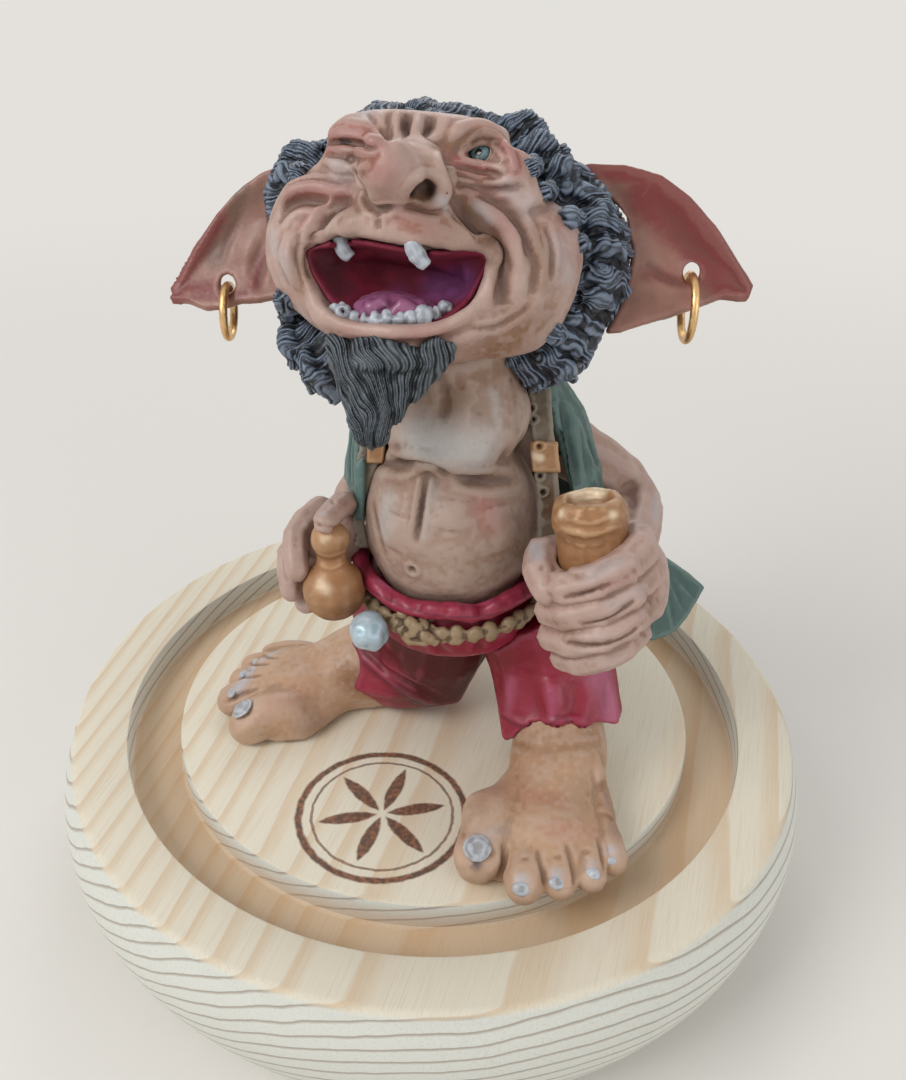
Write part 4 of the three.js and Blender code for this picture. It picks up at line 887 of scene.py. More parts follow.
def burntMark(pine, colour):
    across, along = rosette["spot"]
    place = pine.mapped(pine.place, "Location", (-across * mm, -along * mm, 0))
    flat = pine.mapped(place, "Scale", (1, 1, 0))
    wobble = (pine.noise(*rosette["wobble"]) - 0.5) * (rosette["sway"] * mm)
    reach = pine.length(flat) + wobble
    line = rosette["line"] * mm

    def band(centre, half):
        off = reach - centre * mm
        return 1 - pine.between(off.maths("ABSOLUTE", off), *(half * edge for edge in rosette["lineEdge"]))

    thin, faint = rosette["innerLine"]
    burn = band(rosette["ring"], line) + band(rosette["innerRing"], line * thin) * faint
    radius = rosette["petal"] * mm
    count = rosette["petals"]
    inside = []
    for turn in range(count):
        angle = math.radians(360 / count * turn + rosette["start"])
        spot = (-math.cos(angle) * radius, -math.sin(angle) * radius, 0)
        far = pine.length(pine.mapped(flat, "Location", spot)) + wobble
        start, end = rosette["petalEdge"]
        inside.append(1 - pine.between(far, radius - start * mm, radius - end * mm))
    for turn in range(count):  # a petal is where two circles overlap
        burn = burn + inside[turn - 1] * inside[(turn + 1) % count]
    edges = [(plinth["islandTop"] - below) * mm for below in rosette["topEdge"]]
    burn = burn * pine.between(pine.axis(pine.place, "Z"), *edges)
    scorch = pine.between(pine.noise(*rosette["scorch"]), *rosette["scorchEdge"])
    burnTone = pine.mixed(scorch, *(tone(*shade) for shade in rosette["shades"]))
    return pine.mixed(burn.maths("MINIMUM", burn, 1.0) * rosette["share"], colour, burnTone)


finishPiece(turnedPiece("turnedPlinth", plinthProfile()), pineFinish(), "pine", "plinth")
print("made turnedPlinth")


# eyeballs

eyeWork = {
    "left": {
        "iris": [(2.15, 1.0, [(479, 151)])],
        "pupil": [(0.75, 1.0, [(478.5, 152)])],
        "pink": [(1.6, 0.8, [(462, 158), (466, 161)]), (1.4, 0.8, [(503, 163)])],
    },
    "right": {
        "iris": [(1.5, 1.0, [(346, 141)])],
        "pupil": [(0.9, 1.0, [(346, 142)])],
        "pink": [(3.0, 0.9, [(366, 143)])],
    },
}
eyes = [sculpted("eyeball" + side.capitalize(), "eyeball_" + side, "eyeVarnish", "eye", clay=(0.2, 8, 0.0),
                 stainsAndLight=eyeWork[side]).piece for side in sides]


# head: pulled to its outline, rolls for the broad forms, then the folds, then the paint

facePulls = [  # pixel, reach and shift along the head's axes
    ((320, 265), 6.5, (-3.4, 0, 0.3)), ((336, 312), 7.0, (-2.8, 0, -1.2)), ((483, 264), 6.0, (0.9, 0, 3.4)),
    ((365, 246), 8.0, (0, 0, 0.9)), ((525, 338), 12.0, (0, 0, -3.2)), ((420, 325), 8.0, (0, 0, -0.6)),
]
headStages = [
    {
        "melt": 8, "grain": 0.42,
        "rolls": [
            ([(500, 150), (506, 175), (525, 203)], [4.5, 5.5, 4.0], -2.6, (2.4, 0, 0)),  # temple
            ([(424, 139), (410, 153), (394, 172), (390, 183)], [3.4, 5.2, 6.2, 6.0], -3.4),  # bridge
            ([(430, 145), (436, 162), (440, 178)], [3.0, 4.2, 3.8], -2.4),  # side of the nose
            ([(446, 143), (457, 132), (474, 126), (494, 129), (511, 143), (521, 163)],
             [1.2, 2.0, 1.8, 1.1], -0.3),  # left brow
            ([(386, 148), (372, 132), (352, 125), (335, 128), (322, 140)], [1.0, 1.8, 1.8, 1.2], -0.3),
            ([(337, 232), (352, 222), (370, 216)], [1.6, 2.4, 1.6], -0.9),  # upper lip
            ([(400, 217), (430, 226), (458, 240), (481, 251)], [1.6, 2.6, 2.4, 1.2], -1.0),
            ([(283, 205), (292, 191), (312, 184), (335, 187), (352, 196)], [1.4, 2.2, 2.2, 1.3], -0.5),
            ([(290, 232), (287, 255), (296, 285)], [2.0, 3.0, 2.0], -1.2),  # right cheek
            ([(476, 203), (497, 222), (512, 245), (517, 270)], [1.2, 2.2, 2.2, 1.4], -0.7),  # left cheek
            ([(308, 262), (321, 303), (338, 324), (366, 330), (420, 330), (447, 323), (470, 308), (484, 284)],
             [0.7, 1.3, 1.5, 1.4, 0.8], -0.4),  # lower lip
        ],
        "softens": [
            ([(420, 142), (405, 165), (395, 190)], 5.0, 30),
            ([(438, 150), (443, 172)], 3.0, 20),
            ([(335, 230), (360, 220), (400, 224), (440, 234), (470, 250)], 3.0, 12),
            ([(325, 135), (350, 140), (372, 145)], 4.0, 20),
        ],
    },
    {
        "melt": 7, "grain": 0.42,
        "rolls": [
            ([(414, 141), (399, 153), (383, 167), (376, 179)], [2.0, 4.2, 6.2, 5.0], -2.4),  # nose bulb
            ([(328, 163), (338, 168), (352, 173)], [1.8, 3.0, 1.8], -1.4),  # pouch under the squint
            ([(326, 141), (346, 139), (370, 145)], [1.6, 2.8, 1.6], -1.9),
        ],
        "softens": [
            ([(404, 150), (390, 163), (378, 177), (384, 192)], 6.0, 45),
            ([(362, 150), (360, 165), (364, 182)], 2.2, 20),
        ],
    },
    {
        "melt": 2, "grain": 0.46,
        "rolls": [
            ([(460, 154), (467, 146.5), (476, 141.5), (485, 140.5), (494, 146), (505, 161)],
             [0.6, 0.9, 0.9, 0.6], 0.25),  # left lids
            ([(460, 156), (469, 162), (480, 164), (491, 166.5), (505, 170)], [0.5, 0.75, 0.75, 0.6], 0.15),
            ([(462, 147), (472, 137), (485, 133), (499, 139), (511, 155), (515, 172)],
             [0.6, 0.9, 1.0, 0.8], 0.1),
            ([(323, 139), (337, 134), (352, 134.5), (366, 138), (377, 145)],
             [0.9, 1.9, 1.8, 0.8], -0.1),  # right lids, squinting
            ([(324, 149), (338, 150.5), (352, 152), (366, 155), (377, 154)], [0.8, 1.6, 1.5, 0.7], -0.3),
            ([(325, 160), (340, 166), (355, 168), (370, 162)], [0.8, 1.5, 1.4, 0.8], -0.2),
            ([(404, 187), (410, 179), (424, 174), (438, 179), (445, 190)],
             [0.5, 1.0, 1.0, 0.6], -0.1),  # nostril
        ],
    },
]
headStrokes = [
    (1.0, -1.2, 0.9, [(390, 108), (388, 123), (390, 142)]),
    (1.1, -1.5, 1.3, [(408, 112), (406, 125), (405, 137)]),
    (1.2, -1.6, 1.3, [(433, 112), (429, 124), (424, 136)]),
    (0.7, -0.7, 0.7, [(426, 136), (432, 141), (443, 146)]),
    (0.7, -0.7, 0.5, [(367, 112), (378, 125), (388, 138)]),
    (0.6, -0.5, 0.4, [(371, 125), (380, 132), (388, 140)]),
    (0.8, 0.5, 0.0, [(399, 110), (398, 125), (400, 138)]),
    (0.8, 0.6, 0.0, [(421, 112), (418, 126), (418, 136)]),
    (0.8, 0.5, 0.0, [(450, 116), (444, 130), (440, 140)]),
    (0.6, -0.8, 0.9, [(330, 143), (345, 142), (358, 144), (372, 149)]),
    (0.8, -0.4, 0.5, [(326, 156), (352, 159), (376, 157)]),
    (0.7, -0.7, 0.7, [(452, 166), (466, 169), (482, 173), (503, 174)]),
    (0.6, -0.6, 0.6, [(454, 174), (482, 180), (503, 177)]),
    (0.8, -0.8, 0.7, [(455, 184), (478, 186), (497, 189), (521, 186)]),
    (0.5, 0.4, 0.0, [(460, 170), (480, 176), (503, 174)]),
    (0.6, 0.5, 0.0, [(462, 180), (485, 184), (512, 182)]),
    (0.8, -1.0, 0.9, [(363, 186), (367, 199), (378, 209), (398, 204), (412, 208), (430, 212),
     (446, 207)]), (1.0, -1.3, 1.2, [(448, 207), (455, 193), (452, 176), (446, 158)]),
    (0.6, -0.5, 0.6, [(359, 158), (355, 172), (363, 188)]),
    (1.3, -1.9, 1.2, [(354, 197), (336, 207), (319, 225), (309, 243)]),
    (1.1, -1.4, 0.9, [(277, 225), (286, 209), (301, 201), (325, 202), (342, 204)]),
    (0.9, -0.8, 0.6, [(299, 231), (297, 257), (303, 290)]),
    (0.8, -0.6, 0.5, [(306, 246), (305, 262), (309, 280)]),
    (0.7, -0.5, 0.4, [(283, 187), (300, 179), (322, 178), (345, 186)]),
    (1.7, -2.5, 1.4, [(455, 192), (461, 209), (478, 227), (496, 246), (503, 267), (502, 287),
     (503, 308)]), (1.2, -1.5, 1.0, [(478, 192), (499, 204), (515, 220), (524, 237), (527, 258)]),
    (1.0, -0.8, 0.4, [(529, 245), (536, 266), (532, 296)]), (0.8, -0.6, 0.7, [(497, 272), (498, 303)]),
    (0.7, -0.6, 0.4, [(545, 225), (553, 250), (552, 278)]),
    (1.2, 0.7, 0.0, [(488, 300), (492, 280), (490, 262)]),
    (0.6, -0.6, 0.3, [(379, 210), (378, 222), (378, 231)]),
    (0.7, -0.7, 0.5, [(446, 213), (464, 228), (482, 243)]),
    (1.3, -0.9, 0.3, [(328, 331), (348, 342), (400, 345), (448, 338), (478, 322)]),
    (0.8, -0.6, 0.4, [(286, 300), (297, 325), (316, 343)]),
    (0.7, -0.4, 0.3, [(470, 330), (500, 325), (530, 305)]),
]
nostrilWork = {"pixel": (420, 189), "dent": (2.2, -1.6), "brown": (4.2, 1.1), "dark": (1.9, 1.2),
               "ends": ((-1.1, 0, 0), (1.2, 0, 0.1))}
headStainsAndLight = {
    "dark": [
        (0.35, 1.0, [(447, 193)]), (1.3, 0.4, [(469, 133), (480, 131)]),
        (1.0, 0.75, [(342, 142), (348, 142.5)]),
    ],
    "pink": [
        (6.0, 0.7, [(380, 172)]), (3.0, 0.4, [(398, 158), (412, 148)]),
        (3.4, 0.75, [(295, 195), (320, 190), (342, 195)]), (3.4, 0.5, [(303, 222), (318, 212)]),
        (3.2, 0.5, [(470, 190), (500, 196)]), (4.6, 0.8, [(332, 137), (350, 136), (370, 143)]),
        (2.8, 0.9, [(504, 142), (513, 152), (518, 166)]),
        (2.6, 0.8, [(455, 160), (468, 168), (485, 171)]),
        (3.4, 0.6, [(345, 336), (390, 340), (440, 334)]), (4.6, 0.5, [(405, 216), (425, 224)]),
        (3.0, 0.35, [(455, 122), (490, 122)]), (3.4, 0.5, [(499, 212), (512, 235)]),
        (5.0, 0.4, [(560, 225), (575, 255)]),
    ],
    # brown here includes painted shade along the deep fold from the nose to the mouth's left corner, and
    # under the jaw
    "brown": [
        (3.0, 0.7, [(326, 147), (350, 150), (374, 152)]),
        (2.4, 0.9, [(453, 152), (460, 145), (474, 136), (492, 136)]),
        (2.0, 0.8, [(452, 168), (466, 176), (490, 178)]), (8.0, 0.75, [(530, 325), (500, 352)]),
        (4.0, 0.7, [(345, 214), (358, 206)]), (3.6, 0.8, [(545, 285), (548, 262), (538, 238)]),
        (3.6, 0.6, [(325, 345), (340, 350)]), (4.5, 0.75, [(465, 226), (445, 232), (430, 228)]),
        (3.2, 0.7, [(299, 260), (303, 285)]), (4.2, 0.9, [(462, 196), (472, 212), (490, 232)]),
        (3.0, 0.7, [(500, 262), (500, 292)]), (2.6, 0.9, [(447, 145), (456, 150)]),
    ],
    # pale here includes painted highlights beside that fold and on the crests of both cheeks
    "pale": [
        (4.0, 0.5, [(334, 166), (348, 173)]), (3.0, 0.55, [(385, 103), (365, 115)]),
        (2.2, 0.5, [(480, 208), (488, 220)]), (4.0, 0.45, [(560, 245), (568, 275)]),
        (3.0, 0.5, [(272, 238), (284, 272)]), (2.4, 0.4, [(410, 108), (440, 112)]),
        (2.6, 0.45, [(300, 310), (316, 335)]), (3.0, 0.45, [(508, 188), (530, 205)]),
        (1.6, 0.7, [(440, 200), (447, 205)]),
    ],
    "washAndShade": [
        (1.0, 0.9, [(328, 143), (350, 143.5), (374, 149)]),
        (1.0, 0.9, [(458, 150), (472, 142), (487, 139), (503, 150)]),
    ],
}

head = Clay("headForm", ["head"], 0.48, 30, 0.1)
pullSpots = [(struck([head.piece], *pixel)[0], reach, headWay(shift)) for pixel, reach, shift in facePulls]


def pulledFace(clay):
    spots = clay.spots.copy()
    for centre, reach, shift in pullSpots:
        spots += shift * np.exp(-((spots - centre) ** 2).sum(1) / reach ** 2)[:, None]
    clay.spots = spots
    clay.renew()


pulledFace(head)
head.build(headStages, eyes)
head.strokes(headStrokes)
nostril = struck([head.piece], *nostrilWork["pixel"])[0]
head.work([nostril], *nostrilWork["dent"])
head.stainAndLightAlong("brown", [nostril], *nostrilWork["brown"])
head.stainAndLightAlong("dark", [nostril + headWay(end) for end in nostrilWork["ends"]], *nostrilWork["dark"])
head.carve(grit=[(3.0, 0.10, 3), (1.1, 0.05, 4)], stainsAndLight=headStainsAndLight)
head.finish(finishes["skinPaint"], "skin", "head")


# mouth

liningWork = {
    "clay": (0.4, 16, -0.12),
    "stainsAndLight": {
        "pink": [(4.5, 1.0, [(440, 288), (465, 285)]), (3.0, 0.5, [(400, 292)])],
        "dark": [(6.0, 0.6, [(325, 262), (338, 285)]), (3.5, 0.35, [(380, 265), (430, 268)])],
        "pale": [(1.2, 0.3, [(470, 262), (484, 270)])],
    },
}
tongueWork = {
    "clay": (0.35, 10, 0.5), "grit": [(1.2, 0.12, 5)],
    "strokes": [
        (1.0, -1.3, 0.8, [(377, 315), (386, 306), (394, 297)]), (2.2, 0.9, 0.0, [(366, 311), (374, 304)]),
        (2.6, 0.9, 0.0, [(398, 309), (412, 303)]), (0.8, -0.6, 0.4, [(425, 312), (432, 300)]),
    ],
}
lining = sculpted("mouthLining", "mouth_lining", "mouthPaint", "mouth", shaping=pulledFace, **liningWork)
tongue = sculpted("tongueForm", "tongue", "tonguePaint", "tongue", shaping=pulledFace, **tongueWork)
mouthFaces = [head.piece, lining.piece, tongue.piece]

toothStyle = {"drop": 2, "shift": (0, -0.25, 0.25), "flat": 0.9, "tall": 1.15,
              "tilt": 10, "lean": 8, "turn": 30}
lowerTeeth = [  # pixel and size
    (334, 308, 1.1), (343.5, 312, 1.8), (356, 317, 1.5), (365, 319, 1.3), (375, 319, 1.6),
    (387, 319, 1.5), (399, 321, 1.6), (411, 318, 1.4), (423, 315, 2.1), (435, 313, 1.3), (445, 309, 1.8),
]
decay = [(343, 312)]


def toothRow():
    row = []
    for i, (u, v, size) in enumerate(lowerTeeth):
        spot = struck(mouthFaces, u, v + toothStyle["drop"])[0] + headWay(toothStyle["shift"])
        sizes = (size, size * toothStyle["flat"], size * toothStyle["tall"])
        lean = toothStyle["lean"] * (-1) ** i
        row.append(pellet(spot, sizes, (toothStyle["tilt"], lean, toothStyle["turn"] * i)))
    return row


teeth = Clay("lowerTeeth", [], 0.2, 3, 0.0, toothRow())
teeth.strokes([(0.5, -0.9, 1.2, decay)])
teeth.rough(1.1, 0.45, 6)
teeth.stainsAndLight({"dark": [(0.45, 1.0, decay)]})
teeth.finish(finishes["ivoryPaint"], "ivory", "lower_teeth")

fangStyle = {"above": 4, "root": (0, 1.5, 0.2)}
upperTeeth = {
    "right": {"pixels": [(338, 240), (343, 249), (351, 258)], "radii": [1.6, 1.8, 1.2]},
    "left": {"pixels": [(410, 244), (417, 255), (427, 266)], "radii": [1.5, 1.9, 1.1]},
}


def fangPath(pixels):
    u, v = pixels[0]
    path = [struck([head.piece], u, v - fangStyle["above"])[0] + headWay(fangStyle["root"])]
    eye = np.array(eyeSpot) * 1000
    for u, v in pixels[1:]:  # the tip stays as far from the eye as the root
        ahead = np.array(sight(u, v))
        path.append(eye + ahead * ((path[0] - eye) @ ahead))
    return smoothCurve(path, 4)


for side, tooth in upperTeeth.items():
    sculpted("upperTooth" + side.capitalize(), "upper_tooth_" + side, "ivoryPaint", "ivory",
             clay=(0.2, 10, 0.0), lumps=[roll(fangPath(tooth["pixels"]), tooth["radii"])], fresh=True,
             grit=[(1.4, 0.2, 7)])


# hair: locks laid from the hairline outwards, then combed

lockLines = {
    "crown": [
        [(395, 105), (382, 99), (368, 99)], [(424, 104), (412, 97), (398, 96)],
        [(448, 106), (450, 98), (446, 94)], [(470, 109), (478, 101), (486, 98)],
        [(490, 114), (505, 109), (520, 117)], [(505, 126), (527, 125), (545, 138)],
        [(345, 118), (337, 112), (340, 106)],
    ],
    "left": [
        [(517, 145), (545, 147), (572, 157)], [(529, 168), (560, 169), (592, 181)],
        [(541, 192), (575, 193), (608, 204)], [(562, 220), (592, 220), (622, 231)],
        [(579, 246), (605, 247), (631, 256)], [(586, 272), (608, 277), (630, 298)],
        [(580, 296), (603, 301), (623, 319)], [(567, 314), (592, 324), (610, 344)],
        [(552, 331), (578, 345), (595, 364)], [(538, 351), (560, 365), (575, 382)],
        [(588, 200), (601, 209), (612, 219)],
    ],
    "right": [
        [(331, 138), (313, 135), (297, 145)], [(319, 155), (299, 154), (283, 164)],
        [(306, 174), (289, 174), (277, 182)], [(283, 292), (289, 310), (294, 332)],
        [(287, 320), (293, 345), (299, 370)], [(302, 345), (309, 366), (316, 388)],
        [(318, 366), (328, 384), (340, 403)],
    ],
    "back": [],
}
hairStyle = {
    "clay": (0.5, 10, 0.2), "lock": [2.0, 2.9, 1.6], "lift": 0.2, "melt": 5, "grain": 0.38, "backGrain": 0.44,
    "curl": ((-24.6, 8.6, 165.6), (4.4, 4.6, 5.6)),  # behind the right ear
    "tufts": 10, "tuftDepth": 0.9, "strands": 72, "strandDepth": 0.42,
    "tier": 0.3, "tiers": 1.1, "frizz": (1.6, 4, 0.22), "tierSway": (5, 8, 5), "strandSway": (1.8, 3, 0.5),
    "sway": ((9, 1, 0.10), (4, 2, 0.05)), "tuftSway": 1.4, "tuftSharp": 0.6, "tuftLevel": 0.75,
    "strandLevel": 0.6, "brushAndHighlight": 1.5, "calm": 14, "calmLeast": 0.15, "centre": 2, "close": 0.12,
}
hairFaces = [nodes["hair_" + side] for side in lockLines] + [head.piece]
lockPaths = {side: [tracedOver(hairFaces, line, hairStyle["lift"]) for line in lines]
             for side, lines in lockLines.items()}


def speckled(clay, numbers):
    size, seed, share = numbers
    return grit(clay.spots, size, seed) * share


def combed(hair):
    local = inHead(hair.spots)
    ahead, above = local[:, 0], local[:, 2] - hairStyle["centre"]
    angle, reach = np.arctan2(ahead, above), np.hypot(ahead, above)
    calm = np.clip(reach / hairStyle["calm"], hairStyle["calmLeast"], 1)
    sway = sum(speckled(hair, numbers) for numbers in hairStyle["sway"])
    tufts = np.abs(np.sin((angle + sway * hairStyle["tuftSway"]) * hairStyle["tufts"]))
    tufts = tufts ** hairStyle["tuftSharp"]
    strand = (angle + sway) * hairStyle["strands"]
    fine = np.abs(np.sin(strand + speckled(hair, hairStyle["strandSway"])))
    tier = np.sin(reach * hairStyle["tiers"] + speckled(hair, hairStyle["tierSway"]))
    rise = hairStyle["tuftDepth"] * (tufts - hairStyle["tuftLevel"])
    rise += hairStyle["strandDepth"] * (fine - hairStyle["strandLevel"])
    rise = rise * calm + hairStyle["tier"] * tier + speckled(hair, hairStyle["frizz"])
    hair.spots += hair.normals * rise[:, None]
    hair.marks["strand"] = strand * hairStyle["brushAndHighlight"]
    # dark between the tufts: partly dark paint, partly painted shade in the grooves
    hair.marks["dark"] = np.clip(hairStyle["tuftLevel"] - tufts, 0, 1) * calm


def laidLocks(side):
    def lay(hair):
        locks = [roll(path, hairStyle["lock"]) for path in lockPaths[side] if len(path) > 2]
        if side == "right":
            locks.append(pellet(*hairStyle["curl"]))
        hair.add(locks, hairStyle["melt"], hairStyle["backGrain" if side == "back" else "grain"])
        combed(hair)
    return lay


for side in lockLines:
    sculpted("hair" + side.capitalize(), "hair_" + side, "hairPaint", "hair", hairStyle["clay"],
             shaping=laidLocks(side), close=hairStyle["close"])

beardWork = {
    "clay": (0.42, 10, 0.2), "over": [head.piece], "close": 0.12,
    "stages": [{
        "melt": 12, "grain": 0.36,
        "rolls": [([(352, 364), (374, 358), (405, 358), (431, 363)], [2.0, 3.0, 3.0, 2.0], -1.0)],
    }],
    "stainsAndLight": {"pale": [(2.5, 0.5, [(350, 362), (390, 358)]), (2.0, 0.5, [(385, 400), (378, 430)])]},
}
beardStyle = {"tip": (380, 436), "root": 11, "clumps": 13, "clumpDepth": 0.8, "strands": 58,
              "strandDepth": 0.42, "frizz": (1.8, 7, 0.2), "strandSway": (3, 6, 0.8), "sweep": 0.012,
              "sway": ((8, 5, 0.12), (3.5, 9, 0.04)), "clumpSharp": 0.7, "clumpLevel": 0.7,
              "strandLevel": 0.6, "brushAndHighlight": 116, "dark": 0.8}


def combedBeard(beard):
    tip = inHead(struck([beard.piece], *beardStyle["tip"])[0])
    local = inHead(beard.spots) - tip
    sway = sum(speckled(beard, numbers) for numbers in beardStyle["sway"])
    fan = np.arctan2(local[:, 0], local[:, 2] + beardStyle["root"]) + sway + beardStyle["sweep"] * local[:, 2]
    clump = np.abs(np.sin(fan * beardStyle["clumps"] + 1)) ** beardStyle["clumpSharp"]
    fine = np.abs(np.sin(fan * beardStyle["strands"] + speckled(beard, beardStyle["strandSway"])))
    rise = beardStyle["clumpDepth"] * (clump - beardStyle["clumpLevel"])
    rise += beardStyle["strandDepth"] * (fine - beardStyle["strandLevel"])
    rise += speckled(beard, beardStyle["frizz"])
    beard.spots += beard.normals * rise[:, None]
    beard.marks["strand"] = fan * beardStyle["brushAndHighlight"]
    # dark between the clumps: partly dark paint, partly painted shade in the grooves
    beard.marks["dark"] = np.clip(beardStyle["clumpLevel"] - clump, 0, 1) * beardStyle["dark"]


goatee = Clay("goatee", ["beard"], *beardWork["clay"])
goatee.build(beardWork["stages"], beardWork["over"])
combedBeard(goatee)
goatee.stainsAndLight(beardWork["stainsAndLight"])
goatee.finish(finishes["beardPaint"], "hair", "beard", close=beardWork["close"])


# ears and their rings

earClay = {"clay": (0.4, 10, 0.1), "grit": [(3.5, 0.12, 11)]}
earWork = {
    "right": {
        "strokes": [
            (2.2, 0.4, 0.0, [(243, 182), (224, 205), (206, 232), (190, 258), (178, 282)]),
            (3.2, -0.5, 0.1, [(250, 195), (230, 225), (212, 255), (200, 280)]),
            (1.2, -0.35, 0.3, [(262, 240), (256, 262), (252, 280)]),
            (0.9, -0.2, 0.1, [(240, 215), (228, 240), (222, 262)]),
            (1.0, -0.4, 0.3, [(268, 255), (262, 272), (258, 288)]),
        ],
        "stainsAndLight": {
            "pink": [
                (2.8, 1.2, [(240, 182), (222, 206), (205, 233), (189, 259), (177, 283), (174, 297)]),
                (2.4, 0.9, [(185, 285), (210, 290)]), (1.4, 0.8, [(176, 299), (210, 297), (245, 293)]),
                (2.2, 0.8, [(264, 258), (254, 285)]), (1.5, 0.5, [(250, 175), (270, 167)]),
            ],
            "brown": [
                (3.2, 0.8, [(243, 192), (228, 225), (214, 258)]), (3.0, 0.6, [(262, 190), (248, 205)]),
            ],
            "pale": [(2.4, 0.4, [(258, 225), (250, 245)])],
            "dark": [(0.9, 0.7, [(223, 284), (230, 284)])],
        },
    },
    "left": {
        "strokes": [
            (2.4, 0.4, 0.0, [(625, 172), (655, 182), (685, 207), (710, 240), (735, 270), (748, 285)]),
            (3.4, -0.5, 0.0, [(640, 200), (672, 222), (695, 250), (712, 278)]),
            (2.5, -0.5, 0.2, [(622, 190), (632, 215), (640, 245)]),
            (1.0, -0.4, 0.3, [(645, 262), (668, 280), (700, 285)]),
        ],
        "stainsAndLight": {
            "pink": [
                (3.0, 1.3, [(590, 168), (625, 170), (655, 180), (685, 205), (710, 240), (735, 270),
                 (750, 288)]), (6.0, 1.2, [(650, 196), (688, 228), (712, 260), (728, 280)]),
                (2.5, 0.6, [(650, 275), (680, 280)]),
            ],
            "brown": [(3.0, 0.8, [(615, 185), (632, 205)]), (3.0, 0.4, [(632, 300), (650, 295)])],
            "pale": [(3.0, 0.3, [(640, 235), (650, 260)])],
            "dark": [(1.0, 0.8, [(692, 272), (696, 279)]), (1.0, 0.35, [(698, 205), (708, 216)])],
        },
    },
}
for side, work in earWork.items():
    sculpted("ear" + side.capitalize(), "ear_" + side, "earPaint", "ear_skin", **earClay, **work)

ringStyle = {
    "levels": 2, "beadReach": 2.4, "beadShape": (1.0, 0.8, 0.7),
    "beads": {"left": (1.25, "goldWire"), "right": (1.45, "steelWire")},
}
for side, (beadSize, beadFinish) in ringStyle["beads"].items():
    hoop = copyNode("earring_" + side, "earRing" + side.capitalize())
    rounded = hoop.modifiers.new("round", "SUBSURF")
    rounded.levels = rounded.render_levels = ringStyle["levels"]
    applyModifiers(hoop)
    ringSpots = np.array([vertex.co for vertex in hoop.data.vertices]) * 1000
    highest = ringSpots[:, 2].max()
    top = ringSpots[ringSpots[:, 2] > highest - ringStyle["beadReach"]].mean(0)
    crimp = pellet(top, [beadSize * share for share in ringStyle["beadShape"]])
    crimp.data.materials.append(finishes[beadFinish])
    hoop.data.materials.append(finishes["goldWire"])
    hoop = joinPieces([hoop, crimp])
    only(hoop)
    bpy.ops.object.shade_smooth()
    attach(hoop, "ring_" + side)
    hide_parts("earring_" + side)
    print("made", hoop.name)


# trunk, waist and belt

torsoForms = [
    (2.6, 1.5, 0.0, [(383, 455), (400, 457), (422, 459), (452, 466), (485, 473), (514, 470)]),
    (4.5, 0.9, 0.0, [(405, 440), (450, 448), (490, 455)]),
    (2.4, 0.7, 0.0, [(471, 378), (464, 408), (460, 432)]), (3.4, 0.8, 0.0, [(455, 500), (450, 530)]),
    (4.0, 0.9, 0.0, [(400, 515), (395, 550)]), (4.0, 0.7, 0.0, [(500, 505), (505, 550)]),
]
torsoWork = {
    "clay": (0.54, 36, 0.1), "grit": [(5.0, 0.15, 12), (1.2, 0.06, 13)],
    "softens": [([(383, 455), (422, 462), (485, 476), (514, 474)], 2.0, 5)],
    "strokes": [
        (1.4, -1.8, 1.2, [(380, 462), (398, 464), (422, 467), (452, 474), (485, 481), (514, 480)]),
        (0.8, -1.2, 1.4, [(426, 476), (421, 505), (416, 542)]), (0.8, -1.2, 1.3, [(412, 570)]),
        (1.2, -0.4, 0.1, [(440, 372), (446, 400), (440, 420)]),
        (1.2, -0.4, 0.1, [(372, 500), (378, 530), (386, 556)]),
    ],
    "stainsAndLight": {
        # painted shade along the belly's lower edge above the frill, and a darker line down the left side of
        # the neck
        "washAndShade": [
            (1.4, 0.8, [(368, 566), (404, 588), (439, 596), (487, 592), (532, 582)]),
            (1.6, 0.6, [(512, 375), (516, 420), (517, 445)]),
        ],
        "brown": [
            (3.6, 1.0, [(462, 396), (446, 408)]), (3.0, 0.6, [(478, 378), (500, 372)]),
            (4.0, 0.5, [(395, 482), (430, 488)]), (5.0, 0.35, [(450, 565), (500, 560)]),
        ],
        "pink": [(5.0, 0.6, [(485, 508), (492, 520)]), (3.0, 0.3, [(400, 545)])],
        # pale includes a painted highlight beside the belly's crease
        "pale": [
            (2.4, 0.4, [(434, 488), (429, 515), (425, 535)]), (7.0, 0.8, [(420, 440), (480, 452)]),
            (4.0, 0.5, [(388, 500), (384, 530)]), (2.0, 0.5, [(495, 395), (498, 430)]),
        ],
    },
}
clothLook = {"close": 0.1, "wide": 1.8}
seatWork = {
    "clay": (0.5, 24, 0.2), "grit": [(3.5, 0.2, 14)],
    "strokes": [
        (1.4, -0.8, 0.6, [(430, 625), (436, 645), (448, 660)]),
        (1.2, -0.7, 0.5, [(478, 635), (480, 660)]),
    ],
}
frillWork = {
    "clay": (0.42, 14, 0.25), "grit": [(2.6, 0.3, 15)],
    "strokes": [
        (1.4, -0.6, 0.2, [(362, 568), (366, 588)]), (1.4, -0.6, 0.2, [(391, 586), (394, 604)]),
        (1.4, -0.6, 0.2, [(418, 596), (419, 613)]), (1.4, -0.6, 0.2, [(448, 602), (447, 618)]),
        (1.4, -0.6, 0.2, [(480, 599), (482, 617)]), (1.4, -0.6, 0.2, [(506, 596), (510, 612)]),
    ],
    # dark is painted shade under the frill's rolled top edge; pink lightens the ridge along it, partly as
    # painted highlight
    "stainsAndLight": {
        "pink": [(1.2, 0.7, [(375, 580), (410, 596)]), (1.2, 0.6, [(460, 603), (490, 600)])],
        "dark": [(0.5, 0.5, [(345, 562), (372, 590), (405, 607), (435, 615), (470, 617), (520, 610)])],
    },
}
